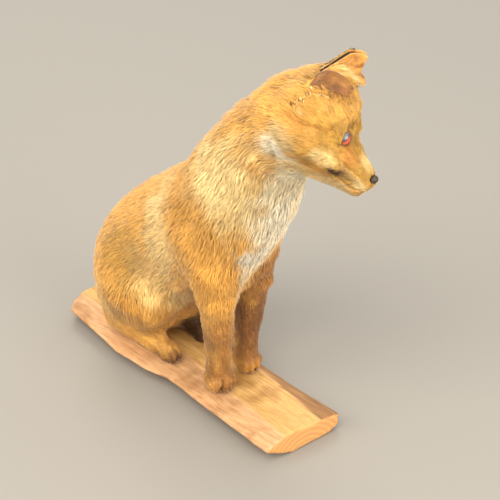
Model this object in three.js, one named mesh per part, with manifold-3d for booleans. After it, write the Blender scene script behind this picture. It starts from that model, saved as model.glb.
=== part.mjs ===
// A young red fox sitting on a slab of split log, life size. Millimetres, +Z up.
// The origin is the middle of the slab's flat underside, and +X runs along the slab
// the way the body faces. The fox is one smooth form, blended from its limbs, and is
// then parted into its named pieces with thin cuts. Sizes run out to the coat's tips.
import * as THREE from "three";
import { mergeVertices } from "three/addons/utils/BufferGeometryUtils.js";
import Module from "manifold-3d";

const wasm = await Module();
wasm.setup();

// Driving dimensions
const slabLength = 394;
const slabThick = 24; // underside to the top face
const slabFlat = [-11, 47]; // the planed strip of the underside, across
const gap = 0.3; // width of every parting cut, and between the fox and the slab
const closeCorners = 0.1; // corners nearer to a piece's surface than this are merged
const foxStands = [78, 9, slabThick + gap]; // the point on the slab between the fore toes
const headTurn = 20; // degrees to the fox's left
const headDown = 38; // degrees below level
const headTilt = -5; // degrees, left ear low
const noseTip = [183, 30, 324]; // from the point between the fore toes
const eyeRadius = 7.8;
// from the nose tip, in the head's own frame; the right eye is set a little further forward
const eyesAt = { right: [-54.4, 15, 14.8], left: [-57.5, 14, 15.4] };
const eyeFacing = [0.6, 0.75, 0.3]; // the left eye's, in that frame
const lidRadius = 6.6; // of the opening between the lids
const lidsAhead = 7; // of the eye's centre
const mouthLevel = -20; // below the nose tip
const muzzleLength = 49;
const elbowLevel = 128;
const wristLevel = 38;
const earThick = 3.6; // of the room that an ear takes; the ear itself is a gap less all round
const trunkCell = 21.4; // grid steps of the faceted forms
const legCell = 10.8;
const tailCell = 15.2;
const headCell = 8.2;
const muzzleCell = 6;

const coat = { color: 0xc8944c, roughness: 0.9, metalness: 0 };
const brownCoat = { color: 0x7d5230, roughness: 0.9, metalness: 0 };
const paleCoat = { color: 0xdcc79a, roughness: 0.9, metalness: 0 };
const bareSkin = { color: 0xa97c4c, roughness: 0.7, metalness: 0 };
const noseSkin = { color: 0x3a312c, roughness: 0.6, metalness: 0 };
const eyeGlass = { color: 0x8a6a62, roughness: 0.1, metalness: 0 };
const wood = { color: 0xc59a62, roughness: 0.8, metalness: 0 };

const v = (p) => new THREE.Vector3(p[0], p[1], p[2]);
const group = new THREE.Group();
const fox = new THREE.Group();
fox.position.set(...foxStands);
group.add(fox);

function add(parent, name, geometry, finish) {
  const mesh = new THREE.Mesh(geometry, new THREE.MeshStandardMaterial(finish));
  mesh.name = name;
  parent.add(mesh);
}

// ---------- solids, joined and cut ----------

function solidOf(geometry) {
  geometry.deleteAttribute("normal");
  geometry.deleteAttribute("uv");
  const merged = mergeVertices(geometry, 1e-3);
  const mesh = new wasm.Mesh({
    numProp: 3,
    vertProperties: Float32Array.from(merged.attributes.position.array),
    triVerts: Uint32Array.from(merged.index.array),
  });
  return new wasm.Manifold(mesh);
}

// a cut piece without the slivers beside it, as a geometry
function geometryOf(solid) {
  const bodies = solid.decompose();
  const main = bodies.reduce((best, body) => (body.volume() > best.volume() ? body : best));
  const mesh = main.simplify(closeCorners).getMesh();
  const geometry = new THREE.BufferGeometry();
  geometry.setAttribute("position", new THREE.BufferAttribute(mesh.vertProperties, 3));
  geometry.setIndex(new THREE.BufferAttribute(mesh.triVerts, 1));
  geometry.computeVertexNormals();
  return geometry;
}

function block(low, high) {
  const size = v(high).sub(v(low));
  const box = new THREE.BoxGeometry(size.x, size.y, size.z);
  box.translate(low[0] + size.x / 2, low[1] + size.y / 2, low[2] + size.z / 2);
  return solidOf(box);
}

// everything past a plane, on the side its normal points to
function beyond(point, normal, from = 0) {
  const reach = 700;
  const box = new THREE.BoxGeometry(reach, reach, reach);
  box.translate(0, 0, reach / 2 + from);
  box.applyQuaternion(new THREE.Quaternion().setFromUnitVectors(v([0, 0, 1]), v(normal).normalize()));
  box.translate(point[0], point[1], point[2]);
  return solidOf(box);
}

// [the part before a plane, the part past it], with the parting gap between them
function partAt(solid, point, normal) {
  const past = solid.intersect(beyond(point, normal, gap / 2));
  return [solid.subtract(beyond(point, normal, -gap / 2)), past];
}

function egg(centre, radii, lean = 0, around = 14) {
  const ball = new THREE.SphereGeometry(1, around, Math.round(around * 0.65));
  ball.scale(radii[0], radii[1], radii[2]);
  ball.rotateY(lean);
  ball.translate(centre[0], centre[1], centre[2]);
  return ball;
}

// ---------- the smooth form ----------

// A limb is a smooth line through points that each carry a radius, [x, y, z, radius].
// soft is how far its skin blends into the next limb's.
function limb(points, soft = 14) {
  const steps = (points.length - 1) * 4;
  const line = new THREE.CatmullRomCurve3(points.map(v), false, "centripetal");
  const radiusAt = (t) => {
    const place = t * (points.length - 1);
    const index = Math.min(Math.floor(place), points.length - 2);
    const part = THREE.MathUtils.smoothstep(place - index, 0, 1);
    return THREE.MathUtils.lerp(points[index][3], points[index + 1][3], part);
  };
  const lengths = [];
  for (let step = 0; step < steps; step++) {
    const from = line.getPoint(step / steps);
    const axis = line.getPoint((step + 1) / steps).sub(from);
    const radius = radiusAt(step / steps);
    const growth = radiusAt((step + 1) / steps) - radius;
    lengths.push({ from, axis, square: axis.lengthSq(), radius, growth });
  }
  return { lengths, soft };
}

const offset = new THREE.Vector3();

function distanceTo({ lengths }, x, y, z) {
  let nearest = 1e6;
  for (const { from, axis, square, radius, growth } of lengths) {
    offset.set(x, y, z).sub(from);
    const t = THREE.MathUtils.clamp(offset.dot(axis) / square, 0, 1);
    offset.addScaledVector(axis, -t);
    nearest = Math.min(nearest, offset.length() - radius - growth * t);
  }
  return nearest;
}

// the blended distance to all the limbs, flat where it rests at the given level
function formOf(limbs, level) {
  return (x, y, z) => {
    let result = 1e6;
    for (const part of limbs) {
      const d = distanceTo(part, x, y, z);
      const blend = Math.max(part.soft - Math.abs(result - d), 0) / part.soft;
      result = Math.min(result, d) - (blend * blend * part.soft) / 4;
    }
    return Math.max(result, level - z);
  };
}

// The surface of a form inside a box: one corner in each grid cell that it crosses,
// and one quad round each grid edge that it crosses
function surfaceOf(form, low, high, cell) {
  const count = low.map((value, axis) => Math.ceil((high[axis] - value) / cell) + 1);
  const at = (i, j, k) => i + count[0] * (j + count[1] * k);
  const values = new Float64Array(count[0] * count[1] * count[2]);
  const eachCell = (start, visit) => {
    for (let k = start; k < count[2] - 1; k++) {
      for (let j = start; j < count[1] - 1; j++) {
        for (let i = start; i < count[0] - 1; i++) visit([i, j, k]);
      }
    }
  };
  values.fill(cell / 3);
  eachCell(1, ([i, j, k]) => {
    values[at(i, j, k)] = form(low[0] + i * cell, low[1] + j * cell, low[2] + k * cell);
  });
  const crossed = (p, q) => values[p] < 0 !== values[q] < 0;
  const positions = [];
  const cornerOf = new Int32Array(values.length).fill(-1);
  eachCell(0, (spot) => {
    const sum = [0, 0, 0];
    let hits = 0;
    for (let edge = 0; edge < 12; edge++) {
      const axis = edge % 3;
      const side = Math.floor(edge / 3);
      const from = [...spot];
      from[(axis + 1) % 3] += side & 1;
      from[(axis + 2) % 3] += side >> 1;
      const to = [...from];
      to[axis] += 1;
      const p = at(...from);
      const q = at(...to);
      if (!crossed(p, q)) continue;
      from[axis] += values[p] / (values[p] - values[q]);
      for (let n = 0; n < 3; n++) sum[n] += from[n];
      hits += 1;
    }
    if (hits === 0) return;
    cornerOf[at(...spot)] = positions.length / 3;
    for (let n = 0; n < 3; n++) positions.push(low[n] + (sum[n] / hits) * cell);
  });
  const indices = [];
  eachCell(0, (spot) => {
    for (let axis = 0; axis < 3; axis++) {
      const to = [...spot];
      to[axis] += 1;
      if (!crossed(at(...spot), at(...to))) continue;
      const ring = [[0, 0], [1, 0], [1, 1], [0, 1]].map(([m, n]) => {
        const near = [...spot];
        near[(axis + 1) % 3] -= m;
        near[(axis + 2) % 3] -= n;
        return cornerOf[at(...near)];
      });
      if (values[at(...spot)] >= 0) ring.reverse();
      indices.push(ring[0], ring[1], ring[2], ring[0], ring[2], ring[3]);
    }
  });
  const geometry = new THREE.BufferGeometry();
  geometry.setAttribute("position", new THREE.Float32BufferAttribute(positions, 3));
  geometry.setIndex(indices);
  return solidOf(geometry);
}

// ---------- the fox's limbs, from the point between the fore toes ----------

const sides = { right: -1, left: 1 };

// the head's own frame: forward from the nose tip, left, up
const headFrame = new THREE.Matrix4().makeTranslation(...noseTip);
headFrame.multiply(new THREE.Matrix4().makeRotationZ(THREE.MathUtils.degToRad(headTurn)));
headFrame.multiply(new THREE.Matrix4().makeRotationY(THREE.MathUtils.degToRad(headDown)));
headFrame.multiply(new THREE.Matrix4().makeRotationX(THREE.MathUtils.degToRad(headTilt)));
const onHead = (p) => v(p).applyMatrix4(headFrame).toArray();
const alongHead = (p) => v(p).transformDirection(headFrame).toArray();
const headLimb = (points, soft = 9) => limb(points.map((p) => [...onHead(p), p[3]]), soft);

const trunkLimbs = [
  limb([
    [-163, 0, 54, 60],
    [-167, 0, 86, 61],
    [-144, 0, 126, 60],
    [-91, 0, 172, 60],
    [-25, 0, 224, 60],
    [15, 0, 281, 56],
    [53, 4, 328, 53],
    [83, 7, 359, 50],
    [101, 9, 379, 43],
  ], 20),
  limb([[-130, 0, 90, 44], [-60, 0, 140, 44]], 20),
  limb([[-22, 0, 178, 46], [6, 0, 214, 48], [36, 3, 262, 44]], 20),
];

const headLimbs = [
  headLimb([[-84, 0, 6, 36], [-96, 0, 2, 38]]),
  headLimb([[-7, 0, -7.5, 9.5], [-24, 0, -7, 13.5], [-48, 0, -5, 18.5]]),
  headLimb([[-9, 0, -25, 8.5], [-28, 0, -28, 13.5], [-48, 0, -31, 18]]),
  headLimb([[-66, 0, -26, 26], [-104, 0, -18, 40]], 16),
];
for (const side of Object.values(sides)) {
  headLimbs.push(headLimb([[-68, side * 15, 23, 14], [-92, side * 22, 22, 20]]));
  headLimbs.push(headLimb([[-50, side * 12, -12, 20], [-92, side * 26, -12, 27]]));
  headLimbs.push(headLimb([[-100, side * 28, 32, 17], [-108, side * 26, 20, 20]]));
}

const forelegBack = { right: 0, left: -9 }; // the left foot stands a little behind
const hindToes = { right: [-81, 30], left: [-92, 25] }; // how far ahead and how far out
const legLimbs = [];
for (const [name, side] of Object.entries(sides)) {
  const x = forelegBack[name];
  legLimbs.push(limb([[-30, side * 32, 205, 30], [-6, side * 32, 168, 28], [x, side * 32, 140, 24]], 18));
  legLimbs.push(limb([
    [x, side * 32, 150, 25],
    [x - 2, side * 28, 95, 18.5],
    [x - 5, side * 25, 45, 14.5],
    [x - 5, side * 24, 14, 14.5],
  ], 10));
  legLimbs.push(limb([[x - 6, side * 24, 13, 13], [x + 3, side * 24, 9.5, 10.5]], 8));
  // thigh, shin and the long hind foot
  legLimbs.push(limb([[-146, side * 35, 86, 41], [-108, side * 41, 76, 32]], 16));
  legLimbs.push(limb([[-112, side * 40, 70, 26], [-168, side * 34, 34, 22]], 12));
  const [ahead, out] = hindToes[name];
  legLimbs.push(limb([
    [-180, side * 32, 15, 14],
    [ahead - 26, side * (out + 2), 12.5, 13.5],
    [ahead, side * out, 10, 12.5],
  ], 8));
}

// the tail leaves the rump low down and lies along the left flank
const tailLimb = limb([
  [-196, 10, 44, 17],
  [-222, 34, 34, 21],
  [-220, 68, 24, 24],
  [-184, 86, 18, 25],
  [-136, 88, 16, 23],
  [-98, 83, 15, 16],
  [-82, 80, 15, 8],
], 8);
const tailLeaves = [-0.75, 0.6, -0.2]; // the way the tail goes from the rump

const foxForm = formOf([...trunkLimbs, ...headLimbs, ...legLimbs], 0);

// ---------- the head and its pieces ----------

const neckEnds = { at: [82, 4, 345], facing: [0.85, 0.12, 0.25] };
const headWhole = surfaceOf(foxForm, [40, -70, 270], [210, 100, 480], headCell);
const muzzleWhole = surfaceOf(foxForm, [100, -40, 270], [205, 80, 410], muzzleCell);
const faceLine = onHead([-muzzleLength, 0, 0]);

let head = partAt(headWhole, neckEnds.at, neckEnds.facing)[1];
head = partAt(head, faceLine, alongHead([1, 0, 0]))[0];
let muzzle = partAt(muzzleWhole, faceLine, alongHead([1, 0, 0]))[1];

for (const [name, side] of Object.entries(sides)) {
  const eyeAt = eyesAt[name];
  const centre = onHead([eyeAt[0], side * eyeAt[1], eyeAt[2]]);
  const ball = (grown) => egg(centre, new Array(3).fill(eyeRadius + grown));
  add(fox, `eye_${name}`, ball(0), eyeGlass);
  const [x, y, z] = eyeAt.map((value, axis) => value + eyeFacing[axis] * lidsAhead);
  const opening = egg(onHead([x, side * y, z]), new Array(3).fill(lidRadius), 0, 10);
  for (const room of [ball(gap), opening]) {
    head = head.subtract(solidOf(room));
    muzzle = muzzle.subtract(solidOf(room));
  }
}

const noseAt = onHead([-4.6, 0, -3.6]);
const noseLean = THREE.MathUtils.degToRad(headDown);
const nose = (grown) => egg(noseAt, [5 + grown, 6.2 + grown, 5.2 + grown], noseLean, 12);
add(fox, "nose", nose(0), noseSkin);
muzzle = muzzle.subtract(solidOf(nose(gap)));
const jaw = partAt(muzzle, onHead([0, 0, mouthLevel]), alongHead([0, 0, -1]));
add(fox, "muzzle", geometryOf(jaw[0]), coat);
add(fox, "lower_jaw", geometryOf(jaw[1]), paleCoat);

// An ear is a bent, tapering plate. Its rule says where the point lies that is u of the
// way to the tip, v from edge to edge (-1 to 1) and w through its thickness (0 to 1).
const plateRoom = { u: [0, 1], v: [-1, 1], w: [0, 1] };
const wholePlate = { u: [0.03, 0.98], v: [-0.97, 0.97], w: [0.1, 0.9] };

function plate(rule, steps, span = wholePlate) {
  const box = new THREE.BoxGeometry(1, 1, 1, steps[0], steps[1], 1);
  const places = box.attributes.position;
  const within = (range, part) => THREE.MathUtils.lerp(range[0], range[1], part + 0.5);
  for (let i = 0; i < places.count; i++) {
    const u = within(span.u, places.getX(i));
    const side = within(span.v, places.getY(i));
    const w = within(span.w, places.getZ(i));
    places.setXYZ(i, ...onHead(rule(u, side, w)));
  }
  return solidOf(box);
}

// the right ear has folded down over the crown, tip forwards, back side up
const rightHalf = (u) => 15 * Math.sqrt(1 - 0.72 * u ** 3);
const rightLine = new THREE.CatmullRomCurve3([
  v([-121, -33, 34]),
  v([-112, -27, 47]),
  v([-98, -19, 52]),
  v([-82, -13, 50]),
]);
const rightSteps = [5, 4];
const rightRule = (u, side, w) => {
  const centre = rightLine.getPoint(u);
  const reach = side * rightHalf(u);
  const drop = 0.3 * reach * side + earThick * (1 - w);
  return [centre.x - 0.25 * reach, centre.y + 0.85 * reach, centre.z + 0.35 * reach - drop];
};
add(fox, "ear_right", geometryOf(plate(rightRule, rightSteps)), brownCoat);

// The left ear stands up, cut off square. Its back has split away from the inside. The
// corners are those of the inside, at the foot and the top, from the rear to the front.
const leftFoot = [v([-119, 4, 35]), v([-87, 29, 43])];
const leftTop = [v([-110, 15, 71]), v([-96, 26, 77])];
const leftBack = v([-0.58, 0.8, -0.09]); // from the inside to the back
const leafThick = 2.2;
const slit = 2.4;
const leftSteps = [6, 6];
const leftRule = (thick, start) => (u, side, w) => {
  const across = (side + 1) / 2;
  const place = leftFoot[0].clone().lerp(leftFoot[1], across);
  place.lerp(leftTop[0].clone().lerp(leftTop[1], across), u);
  const lobe = 9 * THREE.MathUtils.smoothstep(side, 0.4, 1) * Math.exp(-(((u - 0.1) / 0.16) ** 2));
  place.add(new THREE.Vector3(lobe, lobe, 0));
  const cup = 3 * (1 - side * side) * Math.min(1, 2 * u);
  return place.addScaledVector(leftBack, cup + start + thick * w).toArray();
};
const leftWhole = leftRule(2 * leafThick + slit, 0);
const earSlit = plate(leftRule(slit, leafThick), [3, 3], { u: [0.3, 1.1], v: [-1.3, 0.6], w: [0, 1] });
add(fox, "ear_left", geometryOf(plate(leftWhole, leftSteps).subtract(earSlit)), bareSkin);

head = head.subtract(plate(rightRule, rightSteps, plateRoom));
head = head.subtract(plate(leftWhole, leftSteps, plateRoom));
add(fox, "head", geometryOf(head), coat);

// ---------- neck, trunk and legs ----------

const trunkWhole = surfaceOf(foxForm, [-240, -98, -trunkCell], [215, 98, 460], trunkCell);
const legsWhole = surfaceOf(foxForm, [-230, -90, -legCell], [60, 90, 175], legCell);

let trunk = partAt(trunkWhole, neckEnds.at, neckEnds.facing)[0];
for (const [name, side] of Object.entries(sides)) {
  const across = (near, far) => [Math.min(side * near, side * far), Math.max(side * near, side * far)];
  const region = (x, y, z, grown) => {
    const ranges = [x, across(...y), z];
    return block(ranges.map((range) => range[0] - grown), ranges.map((range) => range[1] + grown));
  };

  const foreleg = [[forelegBack[name] - 27, 70], [0.5, 90], [-20, elbowLevel]];
  const upper = legsWhole.intersect(region(...foreleg, 0));
  const [paw, shank] = partAt(upper, [0, 0, wristLevel], [0, 0, 1]);
  add(fox, `foreleg_${name}`, geometryOf(shank), coat);
  add(fox, `forepaw_${name}`, geometryOf(paw), brownCoat);
  trunk = trunk.subtract(region(...foreleg, gap));

  const foot = [[-215, -60], [17, 90], [-20, 27]];
  add(fox, `hind_foot_${name}`, geometryOf(legsWhole.intersect(region(...foot, 0))), brownCoat);
  trunk = trunk.subtract(region(...foot, gap));

  const thigh = (grown) => egg([-122, side * 50, 68], [62 + grown, 34 + grown, 50 + grown], 0.35, 10);
  const haunch = trunk.intersect(solidOf(thigh(0)));
  add(fox, `thigh_${name}`, geometryOf(haunch), coat);
  trunk = trunk.subtract(solidOf(thigh(gap)));
}

const [body, neck] = partAt(trunk, [6, 0, 262], [0.55, 0, 0.83]);
const [back, chest] = partAt(body, [-62, 0, 190], [0.785, 0, 0.62]);
const [rump, belly] = partAt(back, [-135, 0, 130], [0.62, 0, 0.785]);
add(fox, "neck", geometryOf(neck), coat);
add(fox, "chest", geometryOf(chest), paleCoat);
add(fox, "belly", geometryOf(belly), coat);
add(fox, "rump", geometryOf(rump), coat);

const tailWhole = surfaceOf(formOf([tailLimb], -20), [-262, -24, -34], [-60, 126, 76], tailCell);
const clear = v(tailLeaves).normalize().multiplyScalar(2 * gap).toArray();
const tail = tailWhole.subtract(trunkWhole).subtract(legsWhole).translate(clear);
const [tailTip, tailBase] = partAt(tail, [-178, 86, 18], [-1, 0.1, 0]);
add(fox, "tail_base", geometryOf(tailBase), coat);
add(fox, "tail_tip", geometryOf(tailTip), paleCoat);

// ---------- the slab ----------

// a smooth value at x, read off a line of [x, value] marks
function along(marks, x) {
  const next = Math.max(1, marks.findIndex((mark) => mark[0] >= x));
  const to = marks[next] && x <= marks[marks.length - 1][0] ? marks[next] : marks[marks.length - 1];
  const from = marks[Math.min(next, marks.length - 1) - 1];
  return THREE.MathUtils.lerp(from[1], to[1], THREE.MathUtils.smoothstep(x, from[0], to[0]));
}

const halfLength = slabLength / 2;
const nearEdge = [
  [-halfLength, -36],
  [-118, -44],
  [-76, -52],
  [-25, -50],
  [13, -42],
  [90, -47],
  [halfLength, -52],
];
const farEdge = [[-halfLength, 50], [-60, 56], [60, 56], [120, 54], [halfLength, 55]];
const rearEnd = [[0, 18], [0.16, 8], [0.4, 0], [0.75, 1], [1, 9]]; // how far the end is cut back, across
const nearLip = 3.5; // thickness of the near edge
const nearDrop = 4; // the near side slopes down to it
const farWall = 15; // thickness of the far edge
const farDrop = 3;
const frontRise = 4; // the top swells towards the front end

const slab = new THREE.BoxGeometry(1, 1, 1, 14, 8, 1);
const corners = slab.attributes.position;
for (let i = 0; i < corners.count; i++) {
  const across = corners.getY(i) + 0.5;
  const rear = along(rearEnd, across) - halfLength;
  const x = THREE.MathUtils.lerp(rear, halfLength, corners.getX(i) + 0.5);
  const y = THREE.MathUtils.lerp(along(nearEdge, x), along(farEdge, x), across);
  const nearRise = Math.max(0, (slabFlat[0] - y) / (slabFlat[0] - along(nearEdge, x)));
  const farRise = Math.max(0, (y - slabFlat[1]) / (along(farEdge, x) - slabFlat[1]));
  const nearBottom = (slabThick - nearDrop - nearLip) * nearRise ** 1.35;
  const bottom = nearBottom + (slabThick - farDrop - farWall) * farRise ** 2;
  const swell = THREE.MathUtils.smoothstep(x, 100, halfLength) * Math.exp(-(((across - 0.32) / 0.22) ** 2));
  const slopes = nearDrop * nearRise ** 2 + farDrop * THREE.MathUtils.smoothstep(y, 36, 54);
  const top = slabThick + frontRise * swell - slopes;
  corners.setXYZ(i, x, y, THREE.MathUtils.lerp(bottom, top, corners.getZ(i) + 0.5));
}
add(group, "slab", geometryOf(solidOf(slab)), wood);

export default group;
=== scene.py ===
import math

import bmesh
import bpy
import numpy as np
from mathutils import Matrix, Vector
from mathutils.bvhtree import BVHTree
from mathutils.kdtree import KDTree


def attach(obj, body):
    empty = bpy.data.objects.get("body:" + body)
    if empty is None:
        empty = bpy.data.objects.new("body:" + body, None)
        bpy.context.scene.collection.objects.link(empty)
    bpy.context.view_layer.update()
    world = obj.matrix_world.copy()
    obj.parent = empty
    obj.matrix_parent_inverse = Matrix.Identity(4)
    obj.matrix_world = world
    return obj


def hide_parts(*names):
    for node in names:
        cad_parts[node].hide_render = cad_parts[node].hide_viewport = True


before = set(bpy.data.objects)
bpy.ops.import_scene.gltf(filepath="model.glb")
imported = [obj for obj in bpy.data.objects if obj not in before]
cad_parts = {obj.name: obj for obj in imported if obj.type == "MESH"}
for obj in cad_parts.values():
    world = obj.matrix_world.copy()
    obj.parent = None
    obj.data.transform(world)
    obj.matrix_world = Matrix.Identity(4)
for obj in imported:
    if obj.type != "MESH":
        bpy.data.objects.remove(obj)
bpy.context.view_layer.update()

# Sizes and places below are in millimetres, and meshes are written in metres.
mm = 0.001
foxStands = np.array([78.0, 9.0, 24.3])  # the point on the slab between the fore toes, in the row frame
noseTip = np.array([183.0, 30.0, 324.0])  # from there
headAngles = {"Z": 20, "Y": 38, "X": -5}  # degrees: turned to the left, bowed and tilted
headMatrix = Matrix.Translation(foxStands + noseTip)
for axis, angle in headAngles.items():
    headMatrix = headMatrix @ Matrix.Rotation(math.radians(angle), 4, axis)
headTurn = np.array(headMatrix.to_3x3())
headPlace = np.array(headMatrix.translation)
rng = np.random.default_rng(7)

fleshNodes = ["head", "muzzle", "lower_jaw", "neck", "chest", "belly", "rump", "tail_base", "tail_tip"]
for part in ("foreleg", "forepaw", "hind_foot", "thigh"):
    fleshNodes += [part + "_right", part + "_left"]


def linear(hexColour):
    parts = [int(hexColour[i:i + 2], 16) / 255 for i in (1, 3, 5)]
    return tuple(c / 12.92 if c <= 0.04045 else ((c + 0.055) / 1.055) ** 2.4 for c in parts) + (1.0,)


def addNode(tree, kind, settings=None, links=None):
    node = tree.nodes.new(kind)
    for name, value in (settings or {}).items():
        if name == "stops":  # of a colour ramp, lowest first
            elements = node.color_ramp.elements
            for place, (position, colour) in zip((elements[0], elements[1]), (value[0], value[-1])):
                place.position = position
                place.color = linear(colour)
            for position, colour in value[1:-1]:
                elements.new(position).color = linear(colour)
        elif isinstance(name, int) or name in node.inputs:
            node.inputs[name].default_value = value
        else:
            setattr(node, name, value)
    feed(tree, node, links or {})
    return node


def feed(tree, node, links):
    for name, socket in links.items():
        tree.links.new(socket, node.inputs[name])


def newMaterial(name, settings):
    # the settings are those of the shader, and the last value reads places in the object, in metres
    material = bpy.data.materials.new(name)
    material.use_nodes = True
    tree = material.node_tree
    tree.nodes.clear()
    shader = addNode(tree, "ShaderNodeBsdfPrincipled", settings)
    output = addNode(tree, "ShaderNodeOutputMaterial", links={"Surface": shader.outputs["BSDF"]})
    output.is_active_output = True
    return material, tree, shader, addNode(tree, "ShaderNodeTexCoord").outputs["Object"]


def meshFrom(bm, name):
    mesh = bpy.data.meshes.new(name)
    bm.to_mesh(mesh)
    bm.free()
    return mesh


def orderedMesh(bm, name):
    # bmesh may list the same faces in another order on another run, and fur is rooted by that order
    bm.verts.index_update()
    faces = []
    for face in bm.faces:
        corners = [vert.index for vert in face.verts]
        first = corners.index(min(corners))
        faces.append(corners[first:] + corners[:first])
    mesh = bpy.data.meshes.new(name)
    mesh.from_pydata([vert.co for vert in bm.verts], [], sorted(faces))
    bm.free()
    return mesh


def newObject(name, mesh, material=None, smooth=True):
    piece = bpy.data.objects.new(name, mesh)
    bpy.context.scene.collection.objects.link(piece)
    if material:
        mesh.materials.append(material)
    mesh.shade_smooth() if smooth else mesh.shade_flat()
    return piece


def fixed(piece, slotName, nodes=()):
    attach(piece, "root")
    if nodes:
        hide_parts(*nodes)


def readAll(items, name, width, kind=np.float32):
    flat = np.empty(len(items) * width, kind)
    items.foreach_get(name, flat)
    return flat.reshape(-1, width)


def places(mesh):
    return readAll(mesh.vertices, "co", 3).astype(float) / mm


def setPlaces(mesh, points):
    mesh.vertices.foreach_set("co", (points * mm).astype(np.float32).ravel())
    mesh.update()


def cornerNormals(mesh):
    return readAll(mesh.vertex_normals, "vector", 3).astype(float)


def unit(vectors):
    return vectors / np.maximum(np.linalg.norm(vectors, axis=-1, keepdims=True), 1e-9)


def step(low, high, value):
    t = np.clip((value - low) / (high - low), 0, 1)
    return t * t * (3 - 2 * t)


def headLocal(points):
    return (points - headPlace) @ headTurn


def fromHead(points):
    return np.asarray(points, float) @ headTurn.T + headPlace


def noise(points, size, seed=0):
    # smooth value noise, about -1 to 1, with lumps of the given size
    cell = np.floor(points / size).astype(np.int64)
    part = points / size - cell
    part = part * part * (3 - 2 * part)
    total = np.zeros(len(points))
    for corner in range(8):
        offset = np.array([corner & 1, corner >> 1 & 1, corner >> 2])
        c = cell + offset
        h = (c[:, 0] * 73856093) ^ (c[:, 1] * 19349663) ^ (c[:, 2] * 83492791) ^ (seed * 2654435761)
        h = ((h ^ (h >> 13)) * 1274126177) & 0x7fffffff
        h = ((h ^ (h >> 15)) * 668265263) & 0x7fffffff
        weight = np.prod(np.where(offset == 1, part, 1 - part), axis=1)
        total += weight * (h / 0x3fffffff - 1)
    return total * 1.5


print("stage: camera and light")
view = {
    "from": (1.51537, -1.22661, 1.30767),  # metres
    "to": (0.12864, -0.01702, 0.230),
    "lens": 144,
    "sensor": 36,
    "far": 60,
}


def aimed(thing, place, target):
    thing.location = place
    thing.rotation_euler = (Vector(target) - Vector(place)).to_track_quat("-Z", "Y").to_euler()


camera = bpy.data.objects.new("camera", bpy.data.cameras.new("camera"))
bpy.context.scene.collection.objects.link(camera)
aimed(camera, view["from"], view["to"])
camera.data.lens = view["lens"]
camera.data.sensor_width = view["sensor"]
camera.data.clip_end = view["far"]
bpy.context.scene.camera = camera
bpy.context.scene.view_settings.view_transform = "Standard"

studio = {
    "floorColour": "#8f8c87",
    "floorSize": 18,
    "world": ("#f3f1ec", 1.2),
    "lightsAim": (0.05, 0, 0.22),
    # name, from, size, watts, colour
    "lights": [
        ("key", (1.2, -2.0, 3.0), 2.0, 88, "#fff3e0"),
        ("low", (2.6, 0.1, 0.7), 2.0, 82, "#fff3e4"),
        ("fill", (-0.9, -3.0, 1.5), 2.4, 84, "#fff6e6"),
        ("back", (-1.8, 1.2, 2.8), 1.6, 44, "#fff6e8"),
    ],
}


def makeStudio():
    bm = bmesh.new()
    bmesh.ops.create_grid(bm, x_segments=1, y_segments=1, size=studio["floorSize"])
    looks = {"Base Color": linear(studio["floorColour"]), "Roughness": 0.9}
    paper = newMaterial("paper_sweep_matt", looks)[0]  # backdrop paper, with no shine
    floor = newObject("floor", meshFrom(bm, "floor"), paper, smooth=False)
    world = bpy.data.worlds.new("studio")
    world.use_nodes = True
    colour, strength = studio["world"]
    background = world.node_tree.nodes["Background"]
    background.inputs["Color"].default_value = linear(colour)
    background.inputs["Strength"].default_value = strength
    bpy.context.scene.world = world
    for name, place, size, watts, colour in studio["lights"]:
        data = bpy.data.lights.new(name, "AREA")
        data.size = size
        data.energy = watts
        data.color = linear(colour)[:3]
        light = bpy.data.objects.new(name, data)
        bpy.context.scene.collection.objects.link(light)
        aimed(light, place, studio["lightsAim"])


makeStudio()

print("stage: comb guides")
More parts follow.
